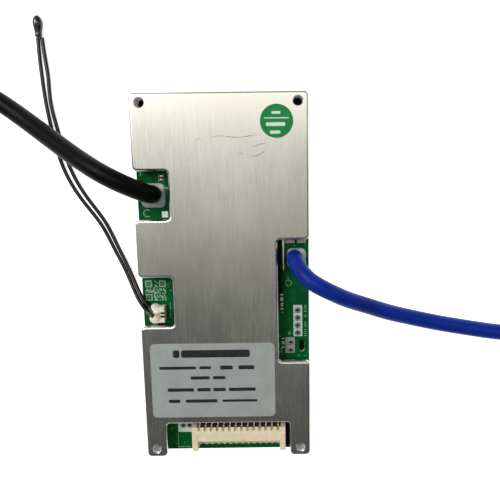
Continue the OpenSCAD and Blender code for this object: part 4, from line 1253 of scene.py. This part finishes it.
def addSilkscreen():
    # faint marks, then white and grey squares with windows round the pads, all prisms a hair high
    v, pads = silkShape, padShape
    low, high = boardTop + 0.002, boardTop + v["lift"]
    faint = []
    for corners in v["bars"]:
        x0, y0, x1, y1 = np.sort(np.reshape(corners, (2, 2)), axis=0).ravel()
        faint.append(thinPrism(bar(x0, y0, x1, y1), [], low, high))
    faint += [thinPrism(arcBand(*arc), [], low, high) for arc in v["arcs"]]
    x, y, cell = codeCells()
    faint += [thinPrism(bar(a, b, a + cell, b + cell), [], low, high) for a, b in zip(x, y)]
    addParts("smallPrint", faint, "circuit_board", materialNames=["faintInk"])
    x0, y0, x1, y1 = v["headerFour"]
    edges, gap = np.linspace(y0, y1, 5), pads["rowGap"]
    parts = [windowed((x0, a + gap, x1, b - gap), [middle], pads["rowWindow"], low, high)
             for a, b, middle in zip(edges[:-1], edges[1:], pads["row"][::-1])]
    parts.append(windowed(v["testBlock"], pads["front"], pads["frontWindow"], low, high))
    addParts("silkPrint", parts, "circuit_board", materialNames=["silkscreen"])
    x0, y0, x1, y1 = v["headerTwo"]
    split, gap = (y0 + y1) / 2, pads["pairGap"]
    back, front = pads["pair"]
    parts = [windowed((x0, y0, x1, split - gap), [front], pads["pairWindow"], low, high),
             windowed((x0, split + gap, x1, y1), [back], pads["pairWindow"], low, high)]
    addParts("greyPrint", parts, "circuit_board", materialNames=["greyInk"])


def addHeaderRings():
    # plated rings: a low rounded land round each drilled hole, its barrel going down the hole in painted
    # shade
    v = padShape
    profile = [(radius, boardTop + above) for radius, above in v["profile"]]
    barrel = v["barrelRows"] * v["sides"]
    parts, kinds = [], []
    for place in v["row"] + v["pair"] + v["front"]:
        points, faces = lathe(profile, place, v["sides"])
        parts.append((points, [f[::-1] for f in faces]))
        kinds += [1] * barrel + [0] * (len(faces) - barrel)
    addParts("headerRings", parts, "solder", kinds, ["platedHole", "darkBarrel"], 50, ["header_pads"])


# labels: films with a faintly raised rim, and plain bars of ink

# heights above the plate of a film's foot and top, its rounded rim, and the ink's heights above the film
filmShape = {"low": 0.004, "top": 0.105, "rim": 0.05, "ink": (0.001, 0.012)}
labelShape = {
    "middle": (-4.35, -32), "size": (40, 25), "corner": 1.6,
    # y of the middle, height, and where each word's bar starts and ends
    "lines": [(-22.9, 2.5, [(-17.0, -14.9), (-14.4, 7.7)]),
              (-27.6, 1.0, [(-21.6, -9.7), (-8.7, -4.9)]), (-27.6, 1.35, [(-2.0, 2.1), (3.9, 9.0)]),
              (-31.0, 1.05, [(-11.6, -5.4), (-4.4, -0.4)]),
              (-35.05, 1.15, [(-19.2, -10.7), (-9.6, -5.3), (-4.4, -0.4), (0.6, 9.3)]),
              (-38.9, 1.1, [(-19.0, -15.3), (-13.5, -3.2)]), (-38.9, 0.8, [(-1.6, 9.8)])],
}
stickerShape = {
    "middle": (17.3, 49.6), "radius": 5.0, "divider": (-3.7, 0.72, 3.7, 1.02),
    "lines": [(2.45, 0.8, [(-1.5, 1.2)]), (-0.95, 1.1, [(-3.2, 2.6)]), (-3.3, 0.95, [(-2.0, 1.1)])],
}


def filmOf(loop, outward):
    # a film on the plate: upright walls, a rim rounded over, and a flat top
    low, high, rim = plateTop + filmShape["low"], plateTop + filmShape["top"], filmShape["rim"]
    profile = [(0.0, low), (0.0, high - rim), (rim * 0.3, high - rim * 0.3), (rim, high)]
    wall = wallAlong(loop, outward, profile)
    cap = flatFill([loop - outward * rim], high, True)
    return joined([wall, cap])


def wordBars(lines, middle, low, high):
    # plain bars with rounded ends where words would stand
    parts = []
    for y, height, words in lines:
        y0, y1 = middle[1] + y - height / 2, middle[1] + y + height / 2
        for x0, x1 in words:
            radius = min(height, x1 - x0) * 0.3
            loop = roundedBar(middle[0] + x0, y0, middle[0] + x1, y1, radius)[0]
            parts.append(thinPrism(loop, [], low, high))
    return parts


def addLabels():
    # two films on the plate, and bars of ink a hair above them
    low, high = [plateTop + filmShape["top"] + above for above in filmShape["ink"]]
    v = labelShape
    x, y = v["middle"]
    a, b = np.array(v["size"]) / 2
    film = filmOf(*roundedBar(x - a, y - b, x + a, y + b, v["corner"], 7))
    addPiece("greyLabel", *film, "label_film", sharpAngle=40, replaced=["label"])
    parts = wordBars(v["lines"], (0, 0), low, high)
    addParts("labelPrint", parts, "label_film", materialNames=["labelInk"])
    v = stickerShape
    middle = np.array(v["middle"])
    angle = np.linspace(0, 2 * np.pi, 96, endpoint=False)
    outward = np.stack([np.cos(angle), np.sin(angle)], 1)
    film = filmOf(middle + v["radius"] * outward, outward)
    addPiece("greenLabel", *film, "sticker_film", sharpAngle=40, replaced=["sticker"])
    x0, y0, x1, y1 = v["divider"]
    parts = [thinPrism(bar(*(middle + (x0, y0)), *(middle + (x1, y1))), [], low, high)]
    parts += wordBars(v["lines"], middle, low, high)
    addParts("greenLabelPrint", parts, "sticker_film", materialNames=["stickerInk"])


# painted shade: flat dark films for the shadow beside the right notch's wall, beside the socket and behind
# the slot
paintedShadeShape = {
    "beside": [(16.6, 13.9), (16.6, -10.5), (19.6, -10.5), (19.6, -2.0), (19.2, 0.5), (18.5, 3.4),
               (18.1, 13.9)],
    "socketSide": [(18.95, -46.5), (18.95, -57.6), (20.9, -57.6), (20.9, -46.5)],
    "heights": (0.003, 0.05),
    # middle, width and length of the film behind the slot, and its heights above the board's underside
    "slot": (24.6, -22.5, 1.7, 4.0), "slotHeights": (0.05, 0.2),
}


def addPaintedShade():
    # thin films of painted shade where little light reaches: the one beside the notch fades
    # to the board's green, those beside the socket and behind the slot stay dark
    v = paintedShadeShape
    low, high = v["heights"]
    parts = [thinPrism(v[key], [], boardTop + low, boardTop + high) for key in ("beside", "socketSide")]
    x, y, width, length = v["slot"]
    loop = roundedBar(x - width / 2, y - length / 2, x + width / 2, y + length / 2, width / 2 - 0.01)[0]
    low, high = v["slotHeights"]
    parts.append(thinPrism(loop, [], boardLow[2] + low, boardLow[2] + high))
    kinds = [min(k, 1) for k, (_, faces) in enumerate(parts) for _ in faces]
    addParts("paintedShadeFilm", parts, "circuit_board", kinds, ["besideShade", "deepShade"])


scratchShape = {
    "lines": [[(-2.7, 45.0), (0.2, 45.45), (3.1, 45.1), (6.2, 44.95), (9.2, 45.35), (12.7, 45.7)],
              [(9.6, 42.0), (11.4, 42.5), (13.2, 42.95), (14.3, 42.8)],
              [(8.6, 39.6), (10.2, 39.3), (11.8, 39.7), (13.2, 40.5), (13.8, 41.7)],
              [(-7.6, 44.1), (-6.2, 44.7), (-5.4, 44.5)], [(5.4, 39.9), (6.6, 40.2), (7.3, 39.8)]],
    "width": [0.20, 0.24, 0.22, 0.14, 0.16], "step": 0.3, "lift": 0.006,
}


def addScratches():
    # hair-thin ribbons that lie on the plate, tapering to nothing at both ends
    v = scratchShape
    parts = []
    for line, width in zip(v["lines"], v["width"]):
        path = smoothPath(np.column_stack([np.array(line), np.zeros(len(line))]), v["step"])
        way = unitRows(np.gradient(path, axis=0))
        across = np.column_stack([-way[:, 1], way[:, 0], np.zeros(len(way))])
        share = np.linspace(0, 1, len(path))
        uneven = 0.55 + 0.45 * np.abs(np.sin(9 * share + width * 20))
        half = width / 2 * np.sin(np.pi * share) ** 0.5 * uneven
        rows = np.stack([path - half[:, None] * across, path + half[:, None] * across], 1)
        rows[..., 2] = plateTop + v["lift"]
        faces = [f[::-1] for f in gridFaces(len(path), 2).tolist()]
        parts.append((rows.reshape(-1, 3), faces))
    addParts("scratchMarks", parts, "plate", materialNames=["scratch"])


def dressNodes():
    # CAD nodes that stay get their slot's material
    slotOf = {
        "transistor_leads": "tinned_copper", "monitor_leads": "tinned_copper",
        "controller_leads": "tinned_copper",
        "balance_switches": "chip_body", "balance_switch_leads": "tinned_copper",
    }
    for nodeName, slotName in slotOf.items():
        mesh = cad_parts[nodeName].data
        mesh.materials.clear()
        mesh.materials.append(materials[slotName])


floorSettings = {
    "half": 3.0, "glow": 0.75, "dark": (0.03, 0.03, 0.03), "pale": (0.92, 0.92, 0.92),
    # half the width and length of the patch of painted shade under the board, in millimetres
    "patch": (26.3, 57.8),
}


def addFloor():
    # pale and glowing where |x| or |y| is beyond the patch, painted shade under the board
    v = floorSettings
    half = v["half"]
    mesh = bpy.data.meshes.new("floor")
    corners = [(-half, -half, 0), (half, -half, 0), (half, half, 0), (-half, half, 0)]
    mesh.from_pydata(corners, [], [(0, 1, 2, 3)])
    mesh.materials.append(materials["floor"])
    floorPiece = bpy.data.objects.new("floor", mesh)
    scene.collection.objects.link(floorPiece)
    tree = materials["floor"].node_tree
    spot = addNode(tree, "ShaderNodeSeparateXYZ", {0: addNode(tree, "ShaderNodeTexCoord").outputs["Object"]})
    beyond = [mathOf(tree, "GREATER_THAN", mathOf(tree, "ABSOLUTE", spot.outputs[k]), v["patch"][k] * mm)
              for k in range(2)]
    beside = mathOf(tree, "MAXIMUM", *beyond)
    fill(tree, tree.nodes["Principled BSDF"], {
        "Base Color": mixOf(tree, beside, v["dark"], v["pale"]), "Emission Color": (1, 1, 1, 1),
        "Emission Strength": mathOf(tree, "MULTIPLY", beside, v["glow"]),
    })


stages = [addCamera, addLights, addCords, addPlate, addSoftCopies, addBusBars, addShunts, addSocket,
          addTailSolder, addMounds, addSensorSocket, addGlue, addWireStubs, addSpacers, addSilkscreen,
          addHeaderRings, addLabels, addPaintedShade, addScratches, dressNodes, addFloor]
for stage in stages:
    stage()
    print("done:", stage.__name__)
